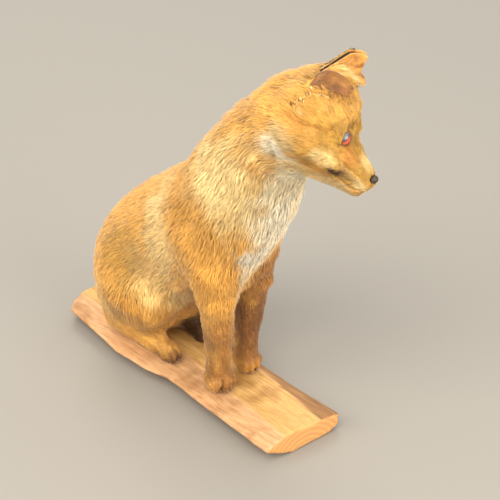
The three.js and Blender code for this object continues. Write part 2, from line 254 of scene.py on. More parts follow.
# Each guide says how the coat lies near one place of the body: the place, the way the hair
# runs, how long it is, how high it stands and how wide one tuft is. Guides marked with
# "both" are mirrored, and those in headGuides are in the head's own frame.
mirrors = {True: (1, -1), False: (1,)}
bodyGuides = [
    # place, way, length, depth, width, both
    ((17, 3, 359), (-0.67, 0, -0.75), 19, 9, 1.3, False),  # nape
    ((-25, 0, 318), (-0.68, 0, -0.73), 18, 8, 1.3, False),
    ((-67, 0, 264), (-0.69, 0, -0.72), 17, 7, 1.3, False),  # withers
    ((-127, 0, 215), (-0.77, 0, -0.64), 16, 6.5, 1.3, False),  # back
    ((-186, 0, 164), (-0.6, 0, -0.8), 17, 7, 1.3, False),  # loin
    ((-220, 0, 95), (-0.15, 0, -1), 17, 7, 1.3, False),  # rump
    ((-215, 0, 40), (0.1, 0, -1), 14, 6, 1.3, False),
    ((60, 44, 345), (-0.6, 0, -0.8), 21, 9, 1.3, True),  # side of the neck
    ((40, 48, 300), (-0.35, 0, -0.94), 22, 9, 1.3, True),
    ((88, 30, 305), (-0.35, 0, -0.94), 22, 8, 1.3, True),
    ((15, 52, 255), (-0.35, 0, -0.94), 19, 8, 1.3, True),  # shoulder
    ((-20, 56, 220), (-0.5, 0, -0.87), 17, 7.5, 1.3, True),
    ((-10, 52, 175), (-0.3, 0, -0.95), 15, 7, 1.25, True),  # upper arm
    ((-70, 57, 185), (-0.72, 0, -0.69), 17, 7, 1.3, True),  # ribs
    ((-65, 52, 130), (-0.7, 0, -0.7), 17, 7, 1.3, True),
    ((-120, 57, 135), (-0.7, 0, -0.72), 17, 7, 1.3, True),  # flank
    ((-175, 52, 110), (-0.35, 0, -0.94), 17, 7, 1.3, True),
    ((-140, 66, 82), (-0.25, 0, -0.97), 15, 7, 1.25, True),  # thigh
    ((-100, 66, 78), (0.12, 0, -0.99), 14, 6.5, 1.2, True),
    ((-78, 50, 70), (0.1, 0.05, -0.99), 12, 5.5, 1.1, True),  # knee
    ((-72, 25, 75), (-0.1, -0.2, -0.97), 12, 5, 1.1, True),
    ((-180, 50, 45), (0.3, 0, -0.95), 12, 6, 1.2, True),
    ((-185, 34, 18), (0.85, 0, -0.5), 7, 3.5, 0.9, True),  # heel
    ((-140, 42, 18), (0.97, 0, -0.25), 7, 3, 0.85, True),  # hind foot
    ((-105, 34, 17), (0.97, 0, -0.2), 5.5, 2.4, 0.75, True),
    ((-86, 26, 12), (0.85, 0, -0.5), 4.5, 2, 0.7, True),  # hind toes
    ((-55, 0, 105), (-0.7, 0, -0.7), 16, 6.5, 1.3, False),  # belly
    ((-20, 0, 130), (-0.7, 0, -0.7), 15, 6, 1.3, False),
    ((103, 4, 300), (-0.4, 0, -0.92), 20, 7, 1.3, False),  # throat
    ((85, 2, 262), (-0.3, 0, -0.95), 23, 9, 1.35, False),  # bib
    ((63, 0, 225), (-0.3, 0, -0.95), 24, 9.5, 1.35, False),
    ((42, 0, 185), (-0.35, 0, -0.94), 21, 9, 1.3, False),
    ((20, 0, 160), (-0.5, 0, -0.87), 16, 7, 1.2, False),
    ((60, 28, 245), (-0.3, 0, -0.95), 22, 9, 1.3, True),
    ((35, 35, 195), (-0.3, 0, -0.95), 18, 8, 1.3, True),
    ((-25, 38, 150), (-0.3, 0, -0.95), 12, 5.5, 1.1, True),  # elbow
    ((14, 40, 145), (-0.1, 0, -1), 11, 5, 1.1, True),  # foreleg
    ((-2, 28, 110), (-0.08, 0, -1), 9, 4, 1.0, True),
    ((-3, 27, 80), (-0.05, 0, -1), 7.5, 3.2, 0.9, True),
    ((-5, 25, 50), (0.05, 0, -1), 6.5, 2.8, 0.85, True),
    ((-3, 24, 26), (0.35, 0, -0.94), 5.5, 2.4, 0.8, True),  # wrist
    ((10, 24, 16), (0.8, 0, -0.6), 4.5, 2, 0.7, True),  # fore toes
    ((-196, 10, 44), (-0.75, 0.6, -0.2), 22, 8, 1.3, False),  # tail
    ((-222, 34, 34), (-0.3, 0.95, -0.2), 26, 9, 1.35, False),
    ((-215, 68, 24), (0.5, 0.85, -0.1), 28, 10, 1.35, False),
    ((-184, 86, 18), (0.97, 0.2, 0), 28, 10, 1.35, False),
    ((-136, 88, 16), (1, -0.05, 0), 26, 9, 1.35, False),
    ((-98, 83, 15), (0.97, -0.2, 0), 22, 6, 1.3, False),
]
headGuides = [
    ((-6, 5, 2), (-1, 0.1, 0.1), 2.2, 0.6, 0.5, True),  # beside the nose
    ((-18, 0, 5), (-1, 0, 0.15), 3.2, 0.8, 0.55, False),  # bridge
    ((-36, 0, 11), (-0.97, 0, 0.3), 4, 1.0, 0.6, False),
    ((-48, 0, 17), (-0.8, 0, 0.6), 4.5, 1.3, 0.65, False),  # stop
    ((-60, 9, 35), (-0.7, 0.05, 0.7), 4.6, 1.6, 0.65, True),  # forehead
    ((-78, 8, 46), (-0.95, 0, 0.3), 8, 3, 0.85, True),
    ((-98, 0, 46), (-1, 0, 0), 11, 4.5, 0.95, False),  # crown
    ((-125, 0, 32), (-0.95, 0, -0.3), 15, 6.5, 1.1, False),
    ((-145, 0, 8), (-0.7, 0, -0.7), 18, 8, 1.2, False),
    ((-60, 26, 31), (-0.85, 0.2, 0.4), 5, 1.6, 0.65, True),  # brow
    ((-76, 36, 25), (-0.95, 0.2, 0.1), 6.5, 2.2, 0.75, True),  # temple
    ((-98, 42, 18), (-0.97, 0.1, -0.2), 9, 3.5, 0.85, True),
    ((-120, 36, 12), (-0.9, 0, -0.45), 14, 6, 1.05, True),
    ((-135, 22, 0), (-0.75, 0, -0.66), 18, 8, 1.2, True),
    ((-20, 12, -4), (-0.95, 0.15, -0.15), 3.2, 0.9, 0.55, True),  # muzzle side
    ((-35, 18, 0), (-0.95, 0.25, -0.05), 4.2, 1.2, 0.6, True),
    ((-16, 11, -14), (-0.85, 0.2, -0.5), 4, 1.2, 0.6, True),  # upper lip
    ((-34, 20, -14), (-0.9, 0.2, -0.4), 5, 1.5, 0.65, True),
    ((-52, 28, -4), (-0.92, 0.3, -0.2), 5.5, 2, 0.7, True),  # cheek
    ((-50, 22, 8), (-0.9, 0.35, 0.05), 4.2, 1.2, 0.6, True),
    ((-68, 38, 2), (-0.93, 0.3, -0.2), 7.5, 2.8, 0.8, True),
    ((-66, 38, -18), (-0.88, 0.25, -0.42), 10, 3.8, 0.9, True),
    ((-90, 46, -8), (-0.85, 0.15, -0.5), 13, 5.5, 1.0, True),
    ((-85, 40, -32), (-0.65, 0.05, -0.76), 17, 7.5, 1.15, True),  # ruff
    ((-108, 42, -22), (-0.65, 0, -0.76), 18, 8, 1.2, True),
    ((-110, 30, -50), (-0.5, 0, -0.87), 20, 8, 1.25, True),
    ((-5, 0, -32), (-1, 0, -0.2), 3.5, 1.1, 0.6, False),  # chin
    ((-25, 10, -36), (-0.95, 0.1, -0.25), 5, 1.8, 0.7, True),
    ((-30, 0, -42), (-0.97, 0, -0.25), 5.5, 2, 0.7, False),
    ((-55, 18, -42), (-0.9, 0.1, -0.4), 8.5, 3.2, 0.85, True),
    ((-58, 0, -52), (-0.9, 0, -0.45), 9, 3.5, 0.9, False),
    ((-80, 0, -64), (-0.7, 0, -0.7), 14, 5.5, 1.1, False),
]


def gatherGuides():
    rows = []
    for guides, toPlace, toWay in ((bodyGuides, lambda place: place + foxStands, lambda way: way),
                                   (headGuides, fromHead, lambda way: headTurn @ way)):
        for place, way, length, depth, width, both in guides:
            for side in mirrors[both]:
                turn = np.array([1, side, 1])
                rows.append((toPlace(np.array(place) * turn), toWay(np.array(way) * turn),
                             length, depth, width))
    return (np.array([row[0] for row in rows]), unit(np.array([row[1] for row in rows])),
            np.array([row[2:] for row in rows], float))


guidePlaces, guideWays, guideSizes = gatherGuides()
# points at a time, and square millimetres that soften a guide's reach
combMake = {"batch": 20000, "near": 60}


def combAt(points):
    # way, length, depth and width of the coat at each point, blended from the nearest guides
    ways = np.empty((len(points), 3))
    sizes = np.empty((len(points), 3))
    for start in range(0, len(points), combMake["batch"]):
        some = slice(start, start + combMake["batch"])
        squares = ((points[some][:, None, :] - guidePlaces[None]) ** 2).sum(2)
        weights = 1 / (squares + combMake["near"]) ** 2
        weights /= weights.sum(1, keepdims=True)
        ways[some] = weights @ guideWays
        sizes[some] = weights @ guideSizes
    return unit(ways), sizes


def bodyComb(points):
    # the same, cropped short beside the openings of the face and along the torn ear
    ways, sizes = combAt(points)
    local = headLocal(points)
    crop = np.ones(len(points))
    for side in sides:
        ratio, height = eyeAngles(local, side)
        crop *= np.where(np.abs(height) < 10, 0.45 + 0.55 * step(1.0, 2.4, ratio), 1)
    far, way = tearDistance(local)
    above = (local[:, 0] > np.interp(way, range(len(tear)), tear[:, 0])) & (way < 3.2)
    crop *= np.where(above, 0.2 + 0.8 * step(1, 8, far), 0.6 + 0.4 * step(1, 4, far))
    height, along = mouthDistance(local)
    crop *= 1 - 0.45 * along * step(5, 1, np.abs(height))
    sizes[:, 0] *= crop
    sizes[:, 1] *= 0.4 + 0.6 * crop
    return ways, sizes


print("stage: skin")
skinMake = {
    "voxel": 2.7,
    "socket": 1.6,  # by which the filled socket is larger than the eye
    "grow": 0.5,  # closes the thin cuts between the parted pieces
    "rounds": 70,  # smoothing of the facets
    "headReach": 98,  # finer faces within this distance of the brow
    "earFoot": (-117, -43, 21),  # smoothed into the head, in this many rounds
    "earRounds": 22,
    "same": 2e-6,  # metres between corners that are one
    "sink": 0.7,  # of the coat's depth, by which the skin lies inside it
    "brow": (-60, 0, 5),
}


def copiedFlesh():
    whole = bmesh.new()
    for name in fleshNodes + ["ear_right"]:  # the folded ear fills its bed in the crown
        bm = bmesh.new()
        bm.from_mesh(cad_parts[name].data)
        bmesh.ops.remove_doubles(bm, verts=bm.verts, dist=skinMake["same"])
        bm.normal_update()
        for vert in bm.verts:
            vert.co = vert.co + vert.normal * skinMake["grow"] * mm
        part = meshFrom(bm, "part")
        whole.from_mesh(part)
        bpy.data.meshes.remove(part)
    socket = (eye["radius"] + skinMake["socket"]) * mm
    for side, mirror in sides.items():  # the skin is drawn over filled sockets, and opened later
        bmesh.ops.create_uvsphere(whole, u_segments=24, v_segments=16, radius=socket,
                                  matrix=Matrix.Translation(fromHead(eye["at"][side] * mirror) * mm))
    return meshFrom(whole, "skin")


def remeshed(mesh, voxel):
    rough = bpy.data.objects.new("rough", mesh)
    bpy.context.scene.collection.objects.link(rough)
    remesh = rough.modifiers.new("remesh", "REMESH")
    remesh.mode = "VOXEL"
    remesh.voxel_size = voxel * mm
    remesh.adaptivity = 0
    graph = bpy.context.evaluated_depsgraph_get()
    result = bpy.data.meshes.new_from_object(rough.evaluated_get(graph))
    bpy.data.objects.remove(rough)
    return result


def relaxed(mesh, points, rounds, strength, shares=(0.6, -0.615)):
    # rounds of smoothing in and out, so that the form keeps its size, or in only, so that it flattens
    count = len(points)
    pairs = readAll(mesh.edges, "vertices", 2, np.int32)
    degree = np.bincount(pairs.ravel(), minlength=count).astype(float)[:, None]
    strength = np.broadcast_to(strength, count)[:, None]
    for _ in range(rounds):
        for share in shares:
            total = np.empty_like(points)
            for axis in range(3):
                total[:, axis] = (np.bincount(pairs[:, 0], points[pairs[:, 1], axis], count)
                                  + np.bincount(pairs[:, 1], points[pairs[:, 0], axis], count))
            points = points + (total / degree - points) * share * strength
    return points


def finerWhere(mesh, chosen):
    bm = bmesh.new()
    bm.from_mesh(mesh)
    bm.verts.ensure_lookup_table()
    edges = [edge for edge in bm.edges if chosen[edge.verts[0].index] and chosen[edge.verts[1].index]]
    bmesh.ops.subdivide_edges(bm, edges=edges, cuts=1, use_grid_fill=True, smooth=0)
    bmesh.ops.triangulate(bm, faces=[face for face in bm.faces if len(face.verts) > 4])
    bm.to_mesh(mesh)
    bm.free()


# The eyes, in the head's own frame, as for the left side. The right one is mirrored, and set
# further forward.
eye = {
    "at": {"right": np.array([-54.8, 15, 15.2]), "left": np.array([-57.5, 14, 15.4])},
    "radius": 7.8,
    "facing": np.array([0.65, 0.66, 0.37]),
    "upright": np.array([-0.44, -0.08, 0.89]),
    "halfWide": 35,  # degrees of the ball that show, to each side
    "halfTall": 66,
}
eye["facing"] = unit(eye["facing"])
eye["upright"] = unit(eye["upright"] - eye["facing"] * (eye["upright"] @ eye["facing"]))
eye["along"] = np.cross(eye["upright"], eye["facing"])  # towards the tear duct
sides = {"right": np.array([1, -1, 1]), "left": np.array([1, 1, 1])}


def eyeAngles(local, side):
    # how far each point lies from the opening's middle, 1 at the lids' edge, and its height off the ball
    off = local * sides[side] - eye["at"][side]
    reach = np.linalg.norm(off, axis=1)
    way = off / np.maximum(reach, 1e-6)[:, None]
    front = np.clip(way @ eye["facing"], -1, 1)
    angle = np.degrees(np.arccos(front))
    across = way @ eye["along"]
    up = way @ eye["upright"]
    spread = np.maximum(np.hypot(across, up), 1e-6)
    limit = 1 / np.hypot(across / spread / eye["halfWide"], up / spread / eye["halfTall"])
    return angle / limit, reach - eye["radius"]


# the lip line's height at places along the muzzle, in the head's frame
mouth = {
    "line": [(-45, -15), (-37, -18.5), (-30, -22), (-22, -22.8), (-14, -24), (-8, -22), (-3, -18.5),
             (3, -17)],
    "wide": 1.2,
    "deep": 2.2,
}


def mouthDistance(local):
    # signed height over the lip line, and how much of the line is there
    x = local[:, 0]
    line = np.array(mouth["line"], float)
    back = line[0, 0]
    return local[:, 2] - np.interp(x, line[:, 0], line[:, 1]), step(back - 3, back + 3, x)


# where the right ear's skin has torn, from behind the ear round its foot to the crown
tear = np.array([(-116, -43, 14), (-113, -44, 19), (-111.5, -44, 25), (-110, -43, 31), (-109, -40, 37),
                 (-103, -39, 43), (-99, -36, 45), (-93, -30, 46), (-88, -20, 46)], float)


def lineDistance(local, line):
    # distance to a bent line, and how far along it the nearest place is, counted in its points
    best = np.full(len(local), 1e6)
    along = np.zeros(len(local))
    for index in range(len(line) - 1):
        start, axis = line[index], line[index + 1] - line[index]
        part = np.clip((local - start) @ axis / (axis @ axis), 0, 1)
        far = np.linalg.norm(local - start - part[:, None] * axis, axis=1)
        along = np.where(far < best, index + part, along)
        best = np.minimum(best, far)
    return best, along


tearOut = np.array([0.02, -0.81, 0.59])  # out of the hide
# where it gapes: the place along its line, and the reach of the hollow and of the bare hide
tearHoles = ((0.6, 0.5, 0.45), (2.3, 0.5, 0.5))


def tearDistance(local):
    # across the hide, however deep below the coat it lies
    flat, line = (spots - 0.85 * (spots @ tearOut)[:, None] * tearOut for spots in (local, tear))
    return lineDistance(flat, line)


# creases and streaks of the face: line, width, colour, strength and depth, in the head's frame
strokes = [
    ([(-62, 31, 20), (-78, 39, 13), (-93, 43, 7), (-115, 41, 0)], 3.4, "ginger", 0.75, 1.2),
    ([(-45, 16, 8), (-40, 20, 1), (-33, 20, -4), (-24, 14, -6), (-15, 10, -7)], 2.2, "orange", 0.6, 0.7),
    # painted shade along the sunken crease of the cheek
    ([(-50, 33, -8), (-56, 36, -16), (-72, 38, -28)], 2.6, "brown", 0.45, 1.2),
    ([(-30, 14, -27), (-26, 13, -24), (-22, 12, -23), (-14, 10, -25), (-7, 7, -23)], 1.3, "orange", 0.7, 0),
    ([(-106, 46, 17), (-101, 45, 21), (-97, 44, 16)], 1.6, "cream", 0.7, -0.5),
    # painted shadow along the sunken crease between the ruff and the throat
    ([(-103, 41, -28), (-92, 35, -42), (-84, 27, -51)], 3.4, "brown", 0.6, 3.0),
]


def furrows(points, local):
    # folds that run from the inner corners of the eyes up the forehead, about -1 to 1
    x, y, z = local.T
    patch = np.exp(-((z - 30) / 15) ** 2 - ((np.abs(y) - 9) / 8) ** 2)
    patch = patch * step(-85, -62, x) * step(10, 2, y)
    return patch * np.sin((y + (z - 30) * 0.22) * 1.25 + 0.5 * noise(points, 12, 3))


# The right ear lies folded over the crown: the line down its middle, from its foot to its tip.
flap = {
    "line": [(-121, -31, 36), (-112, -25, 48), (-99, -17, 54), (-83, -10, 53.5)],
    "half": 13.5,
    "thick": 1.4,
    "out": (0, -0.45, 0.89),  # away from the crown
    "rise": 2.4,
    # where the crown's height is felt, along the line and across it
    "probes": [(0, 0), (0.1, 0), (-0.1, 0), (0, 0.25), (0, -0.25),
               (0.07, 0.17), (-0.07, 0.17), (0.07, -0.17)],
}


def flapSpot(u, side):
    line = np.array(flap["line"], float)
    part = u * (len(line) - 1)
    at = min(int(part), len(line) - 2)
    part -= at
    before = line[max(at - 1, 0)]
    after = line[min(at + 2, len(line) - 1)]
    start, end = line[at], line[at + 1]
    centre = 0.5 * (2 * start + (end - before) * part
                    + (2 * before - 5 * start + 4 * end - after) * part ** 2
                    + (3 * start - before - 3 * end + after) * part ** 3)
    reach = side * flap["half"] * math.sqrt(1 - 0.72 * min(1, u) ** 3) * (0.45 + 0.55 * step(0, 0.45, u))
    return centre + reach * np.array([-0.25, 0.85, 0.35])


flapSpots = np.array([flapSpot(u, side) for u in np.linspace(0.2, 0.94, 16)
                      for side in np.linspace(-0.85, 0.85, 11)])


def underFlap(local):
    out = unit(np.array(flap["out"], float))
    flat, spots = (some - (some @ out)[:, None] * out for some in (local, flapSpots))
    near = np.zeros(len(local), bool)
    some = np.flatnonzero((local[:, 0] > -128) & (local[:, 0] < -60) & (local[:, 2] > 22))
    if len(some):
        near[some] = ((flat[some][:, None] - spots[None]) ** 2).sum(2).min(1) < 3.2
    return near


# swellings and hollows of both sides of the head: how high, where and how wide
headLumps = [
    (-1.6, (-47, 0, 13), (7, 8, 9)),  # stop
    (0.5, (-63, 22, 34), (9, 8, 6)),  # brow bones
    (-1.5, (-44, 14, 6), (7, 5, 7)),  # hollows in front of the eyes
    (1.6, (-50, 8, 18), (7, 4, 8)),
    (2.2, (-5, 6, -12), (6, 5, 5)),  # pads of the upper lip
    (1.2, (-9, 0, -29), (6, 7, 5)),  # chin
    (1.0, (-26, 13, -14), (11, 6, 5)),
]
leftBrow = (-1.9, (-62, 21, 36), (10, 9, 8))  # the left brow lies flatter
cheekLump = (0.8, (-75, 38, -2), (22, 14, 20))  # shrunken skin over the temple and the cheek
muzzleCrease = [(-42, 1), (-34, -4), (-27, -7), (-20, -8), (-12, -7)]  # its height along the muzzle


def lump(places, high, centre, radii):
    x, y, z = (places - np.array(centre)).T
    return high * np.exp(-(x / radii[0]) ** 2 - (y / radii[1]) ** 2 - (z / radii[2]) ** 2)


def sculptHead(points, normals):
    local = headLocal(points)
    x, y, z = local.T
    near = (x > -110) & (np.linalg.norm(points - headPlace, axis=1) < 140)
    push = np.zeros(len(points))
    ay = np.abs(y)
    folded = np.stack([x, ay, z], 1)
    for row in headLumps:
        push += lump(folded, *row)
    push += lump(local, *leftBrow)
    push += lump(folded, *cheekLump) * noise(points, 11, 5)
    push += 2.8 * furrows(points, local)
    for line, width, _, _, depth in strokes:
        push -= depth * np.exp(-(lineDistance(folded, np.array(line, float))[0] / width) ** 2)
    # dry crease between the muzzle's side and the whisker pad
    crease = z - np.interp(x, *np.array(muzzleCrease, float).T)
    push += -0.9 * np.exp(-(crease / 1.6) ** 2) * step(-44, -36, x) * step(-8, -16, x) * (ay > 6)
    # lip line
    height, along = mouthDistance(local)
    front = step(6, -2, x) * along
    push += -mouth["deep"] * front * np.exp(-(height / mouth["wide"]) ** 2)
    push += 0.9 * front * np.exp(-((height - 3.0) / 1.9) ** 2)
    push += 0.7 * front * np.exp(-((height + 2.8) / 1.8) ** 2)
    # torn, sunken corner of the mouth
    torn = np.exp(-((x + 36) / 7.5) ** 2 - ((z + 15) / 4.2) ** 2) * (ay > 12)
    push += torn * (-1.9 + 1.6 * noise(points, 2.6, 11))
    # torn skin at the foot of the right ear, and the ridge of dried skin under it
    far, way = tearDistance(local)
    ragged = far + 0.8 * noise(points, 3.0, 12)
    deep = 1.4 + 2.4 * sum(np.exp(-((way - at) / reach) ** 2) for at, reach, _ in tearHoles)
    push += -deep * np.exp(-(ragged / 1.3) ** 2) * step(-0.1, 0.4, way)
    push += 0.9 * np.exp(-((ragged - 3.4) / 1.4) ** 2)
    points = points + normals * (push * near)[:, None]
    # lids: skin opens over the ball, with a rolled rim
    local = headLocal(points)
    for side, mirror in sides.items():
        ratio = eyeAngles(local, side)[0]
        off = local * mirror - eye["at"][side]
        reach = np.linalg.norm(off, axis=1)
        close = (reach < 20) & (off @ eye["facing"] > -4)
        inside = close & (ratio < 1.0)
        rim = close & (ratio >= 1.0)
        want = np.where(inside, eye["radius"] - 2.6 * step(1.0, 0.8, ratio), reach)
        lid = eye["radius"] + 0.7 + 1.2 * step(1.0, 1.4, ratio)
        blend = step(1.9, 1.1, ratio)
        want = np.where(rim, np.maximum(reach + (lid - reach) * blend, eye["radius"] + 0.7), want)
        moved = off / np.maximum(reach, 1e-6)[:, None] * want[:, None] + eye["at"][side]
        local = np.where(close[:, None], moved * mirror, local)
    return np.where(near[:, None], fromHead(local), points)


toes = {
    "spread": 6.4, "deep": 3.6, "wide": 1.6, "round": 1.6,
    # each paw's toes in the body's frame, its height, and how much fuller than its solid it is
    "paws": [(1, -24, 14, 1.2), (-8, 24, 14, 1.2), (-84, -30, 16, 2.4), (-95, 25, 16, 2.0)],
}
kneeCrease = np.array([(-150, 0, 34), (-118, 0, 33), (-94, 0, 36), (-80, 0, 44)], float)


def sculptFeet(points, normals):
    # grooves between the toes, and the crease under the bulge of the knee
    fox = points - foxStands
    push = np.zeros(len(points))
    for x0, y0, high, full in toes["paws"]:
        ahead = fox[:, 0] - x0
        across = fox[:, 1] - y0
        here = step(-14, -2, ahead) * step(18, 14, np.abs(across)) * step(high + 8, high, fox[:, 2])
        for slot in (-1, 0, 1):
            groove = np.exp(-((across - slot * toes["spread"] * (1 + 0.01 * ahead)) / toes["wide"]) ** 2)
            push -= toes["deep"] * here * groove
        push += toes["round"] * here * np.exp(-(ahead / 6) ** 2)
        push += full * here
    x, y, z = fox.T
    under = lineDistance(fox * [1, 0, 1], kneeCrease)[0]
    outside = step(24, 34, np.abs(y)) * step(62, 56, y)
    push -= 2.6 * np.exp(-(under / 4) ** 2) * outside
    push += 1.6 * np.exp(-((z - 50) / 9) ** 2 - ((x + 98) / 18) ** 2) * outside
    return points + normals * push[:, None]


def makeSkin():
    mesh = remeshed(copiedFlesh(), skinMake["voxel"])
    brow = fromHead(skinMake["brow"])
    points = places(mesh)
    fox = points - foxStands
    toBrow = np.linalg.norm(points - brow, axis=1)
    strength = 0.35 + 0.65 * step(75, 110, toBrow) * step(20, 70, fox[:, 2])
    strength = np.where(fox[:, 1] > 62, 0.8, strength)  # the tail
    points = relaxed(mesh, points, skinMake["rounds"], strength)
    foot = step(24, 11, np.linalg.norm(headLocal(points) - skinMake["earFoot"], axis=1))
    points = relaxed(mesh, points, skinMake["earRounds"], foot, (0.6,))
    setPlaces(mesh, points)
    finerWhere(mesh, np.linalg.norm(points - brow, axis=1) < skinMake["headReach"])
    points = places(mesh)
    local = headLocal(points)
    fine = (local[:, 0] > -48) & (local[:, 0] < 4) & (np.abs(mouthDistance(local)[0]) < 6)
    fine |= tearDistance(local)[0] < 6
    for side, mirror in sides.items():
        fine |= np.linalg.norm(local * mirror - eye["at"][side], axis=1) < 16
    finerWhere(mesh, fine)
    points = relaxed(mesh, places(mesh), 4, 0.6)
    setPlaces(mesh, points)
    depth = combAt(points)[1][:, 1]
    points = points - cornerNormals(mesh) * (depth * skinMake["sink"])[:, None]
    points[:, 2] = np.maximum(points[:, 2], foxStands[2] - 0.2)
    points = relaxed(mesh, points, 3, 0.5)
    setPlaces(mesh, points)
    normals = cornerNormals(mesh)
    setPlaces(mesh, sculptFeet(sculptHead(points, normals), normals))
    return mesh


skinMesh = makeSkin()
print("skin has", len(skinMesh.vertices), "vertices and", len(skinMesh.polygons), "faces")

print("stage: markings")
coatColours = {name: np.array(linear(code)[:3]) for name, code in {
    "gold": "#e2a955",
    "tawny": "#b1883c",
    "orange": "#dfa24c",
    "pale": "#fbdf9f",
    "cream": "#fcebc2",
    "white": "#fbf2dc",
    "grey": "#c8ae7c",
    "ginger": "#b87f38",
    "brown": "#a5733d",
    "dark": "#7e5434",
    "black": "#46301f",
}.items()}
# colour, centre, radii, strength, both sides; in the body's frame
bodyMarks = [
    ("pale", (44, 48, 290), (66, 40, 66), 0.85, True),  # light side of the neck
    ("pale", (-66, 44, 196), (30, 38, 66), 0.6, True),  # light band behind the shoulder
    ("pale", (-88, 50, 125), (36, 28, 44), 0.4, True),
    ("pale", (-170, 48, 70), (34, 30, 40), 0.25, True),
    ("orange", (-12, 54, 226), (36, 30, 46), 0.45, True),  # shoulder
    ("orange", (15, 48, 165), (34, 26, 34), 0.6, True),
    ("orange", (-50, 0, 266), (46, 34, 46), 0.5, False),  # withers
    ("orange", (-150, 0, 180), (60, 44, 60), 0.55, False),  # back
    ("orange", (-205, 0, 110), (48, 44, 60), 0.4, False),
    ("orange", (-110, 68, 72), (24, 20, 20), 0.85, True),  # patch on the thigh
    ("brown", (-110, 50, 33), (38, 26, 6), 0.5, True),  # shade below the knee
    ("pale", (-92, 50, 108), (28, 22, 16), 0.2, True),
    ("brown", (-118, 60, 58), (40, 30, 32), 0.35, True),
    ("tawny", (-125, 56, 140), (46, 32, 42), 0.45, True),
    ("cream", (98, 0, 312), (34, 34, 30), 1.0, False),  # bib
    ("cream", (88, 0, 275), (40, 38, 40), 1.0, False),
    ("cream", (66, 0, 232), (38, 36, 46), 1.0, False),
    ("cream", (42, 0, 190), (34, 30, 36), 1.0, False),
    ("white", (72, 0, 240), (24, 22, 62), 0.6, False),
    ("white", (44, -6, 188), (28, 26, 38), 0.8, False),
    ("cream", (14, -4, 160), (32, 16, 20), 0.6, False),
    ("grey", (-50, 0, 100), (50, 34, 34), 0.6, False),  # belly
    ("brown", (-45, 0, 95), (36, 34, 26), 0.5, False),
    ("pale", (-70, 22, 84), (22, 18, 36), 0.5, True),
    ("cream", (4, -12, 128), (22, 12, 34), 0.45, False),  # inside of the right foreleg
    ("orange", (8, 42, 118), (22, 26, 44), 0.6, True),
    ("brown", (-2, 26, 72), (34, 26, 46), 0.9, True),  # lower forelegs
    ("brown", (0, 26, 22), (34, 26, 26), 0.95, True),
    ("gold", (-150, 40, 18), (40, 22, 20), 0.5, True),  # hock and foot
    ("brown", (-92, 28, 12), (22, 22, 18), 0.7, True),
    ("dark", (-83, 28, 6), (20, 20, 15), 0.9, True),
    ("cream", (-90, 82, 15), (34, 34, 34), 1.0, False),  # tail tip
    ("brown", (8, 32, 138), (44, 29, 48), 0.95, False),  # the left foreleg is darker
    ("dark", (-6, 20, 78), (34, 24, 40), 0.75, False),
    ("dark", (-6, 24, 26), (20, 20, 20), 0.4, False),
    ("black", (-112, 24, 18), (40, 22, 22), 0.95, False),  # and the left hind foot nearly black: its own dark colour, with painted shade for its place under the body
    ("orange", (4, 24, 14), (10, 14, 10), 0.6, False),
    ("dark", (-2, -22, 8), (16, 18, 7), 0.7, False),
]
headMarks = [
    ("tawny", (-46, 0, 12), (84, 62, 62), 0.95, False),
    ("pale", (-16, 0, 5), (18, 7, 6), 0.45, False),  # bridge
    ("ginger", (-38, 14, 4), (16, 10, 10), 0.9, True),  # below the eye
    ("gold", (-70, 12, 40), (22, 20, 14), 0.7, True),  # forehead
    ("tawny", (-46, 24, -30), (22, 14, 8), 0.5, True),  # jaw
    ("orange", (-92, 44, 8), (26, 14, 7), 0.5, True),  # line behind the eye
    ("gold", (-132, 26, 4), (30, 26, 26), 0.8, True),  # nape
    ("gold", (-92, 46, -6), (22, 16, 10), 0.5, True),
    ("grey", (-94, 44, -18), (24, 16, 14), 0.8, True),
    ("pale", (-50, 31, -8), (22, 14, 9), 0.6, True),  # cheek
    ("cream", (-90, 40, -40), (26, 22, 20), 0.9, True),  # ruff
    ("white", (-92, 42, -36), (20, 18, 14), 0.7, True),
    ("tawny", (-108, 14, 42), (28, 30, 16), 0.5, True),  # crown
    ("grey", (-70, 26, -44), (20, 18, 14), 0.4, True),
    ("grey", (-30, 8, -36), (44, 24, 16), 0.75, True),  # chin and throat
    ("ginger", (-48, 27, -24), (17, 14, 7), 0.5, True),
    ("pale", (-6, 8, -15), (13, 9, 7), 0.75, True),
    ("grey", (-22, 14, -11), (16, 8, 6), 0.45, True),  # whisker bed
    ("dark", (-28, 17, -11), (9, 8, 5), 0.35, True),
    ("black", (-36, 24, -15), (11, 12, 6), 1.0, True),  # torn corner of the mouth
    ("dark", (-58, 30, 24), (5, 8, 6), 0.45, True),
    ("brown", (-100, -21, 50), (26, 16, 14), 0.9, False),  # bed of the folded ear
]


def markingAt(points):
    local = headLocal(points)
    colour = np.tile(coatColours["gold"], (len(points), 1))
    wobble = 0.16 * noise(points, 14, 21) + 0.1 * noise(points, 5, 22)

    def painted(name, mask):
        return colour * (1 - mask[:, None]) + coatColours[name] * mask[:, None]

    for marks, spots in ((bodyMarks, points - foxStands), (headMarks, local)):
        for name, centre, radii, strength, both in marks:
            for side in mirrors[both]:
                off = spots - np.array(centre) * [1, side, 1]
                reach = np.sqrt(((off / np.array(radii)) ** 2).sum(1)) + wobble
                colour = painted(name, strength * step(1.22, 0.42, reach))
    # painted shade in the sunken folds of the forehead
    colour = painted("dark", step(0.05, -0.5, furrows(points, local)) * 0.6)
    folded = local * np.sign([1, 0, 1]) + np.abs(local[:, 1:2]) * [0, 1, 0]
    for line, width, name, strength, _ in strokes:
        far = lineDistance(folded, np.array(line, float))[0]
        colour = painted(name, strength * np.exp(-(far / width) ** 2))
    cloud = 1 + 0.1 * noise(points, 22, 31) + 0.07 * noise(points, 8, 32)
    return colour * cloud[:, None]


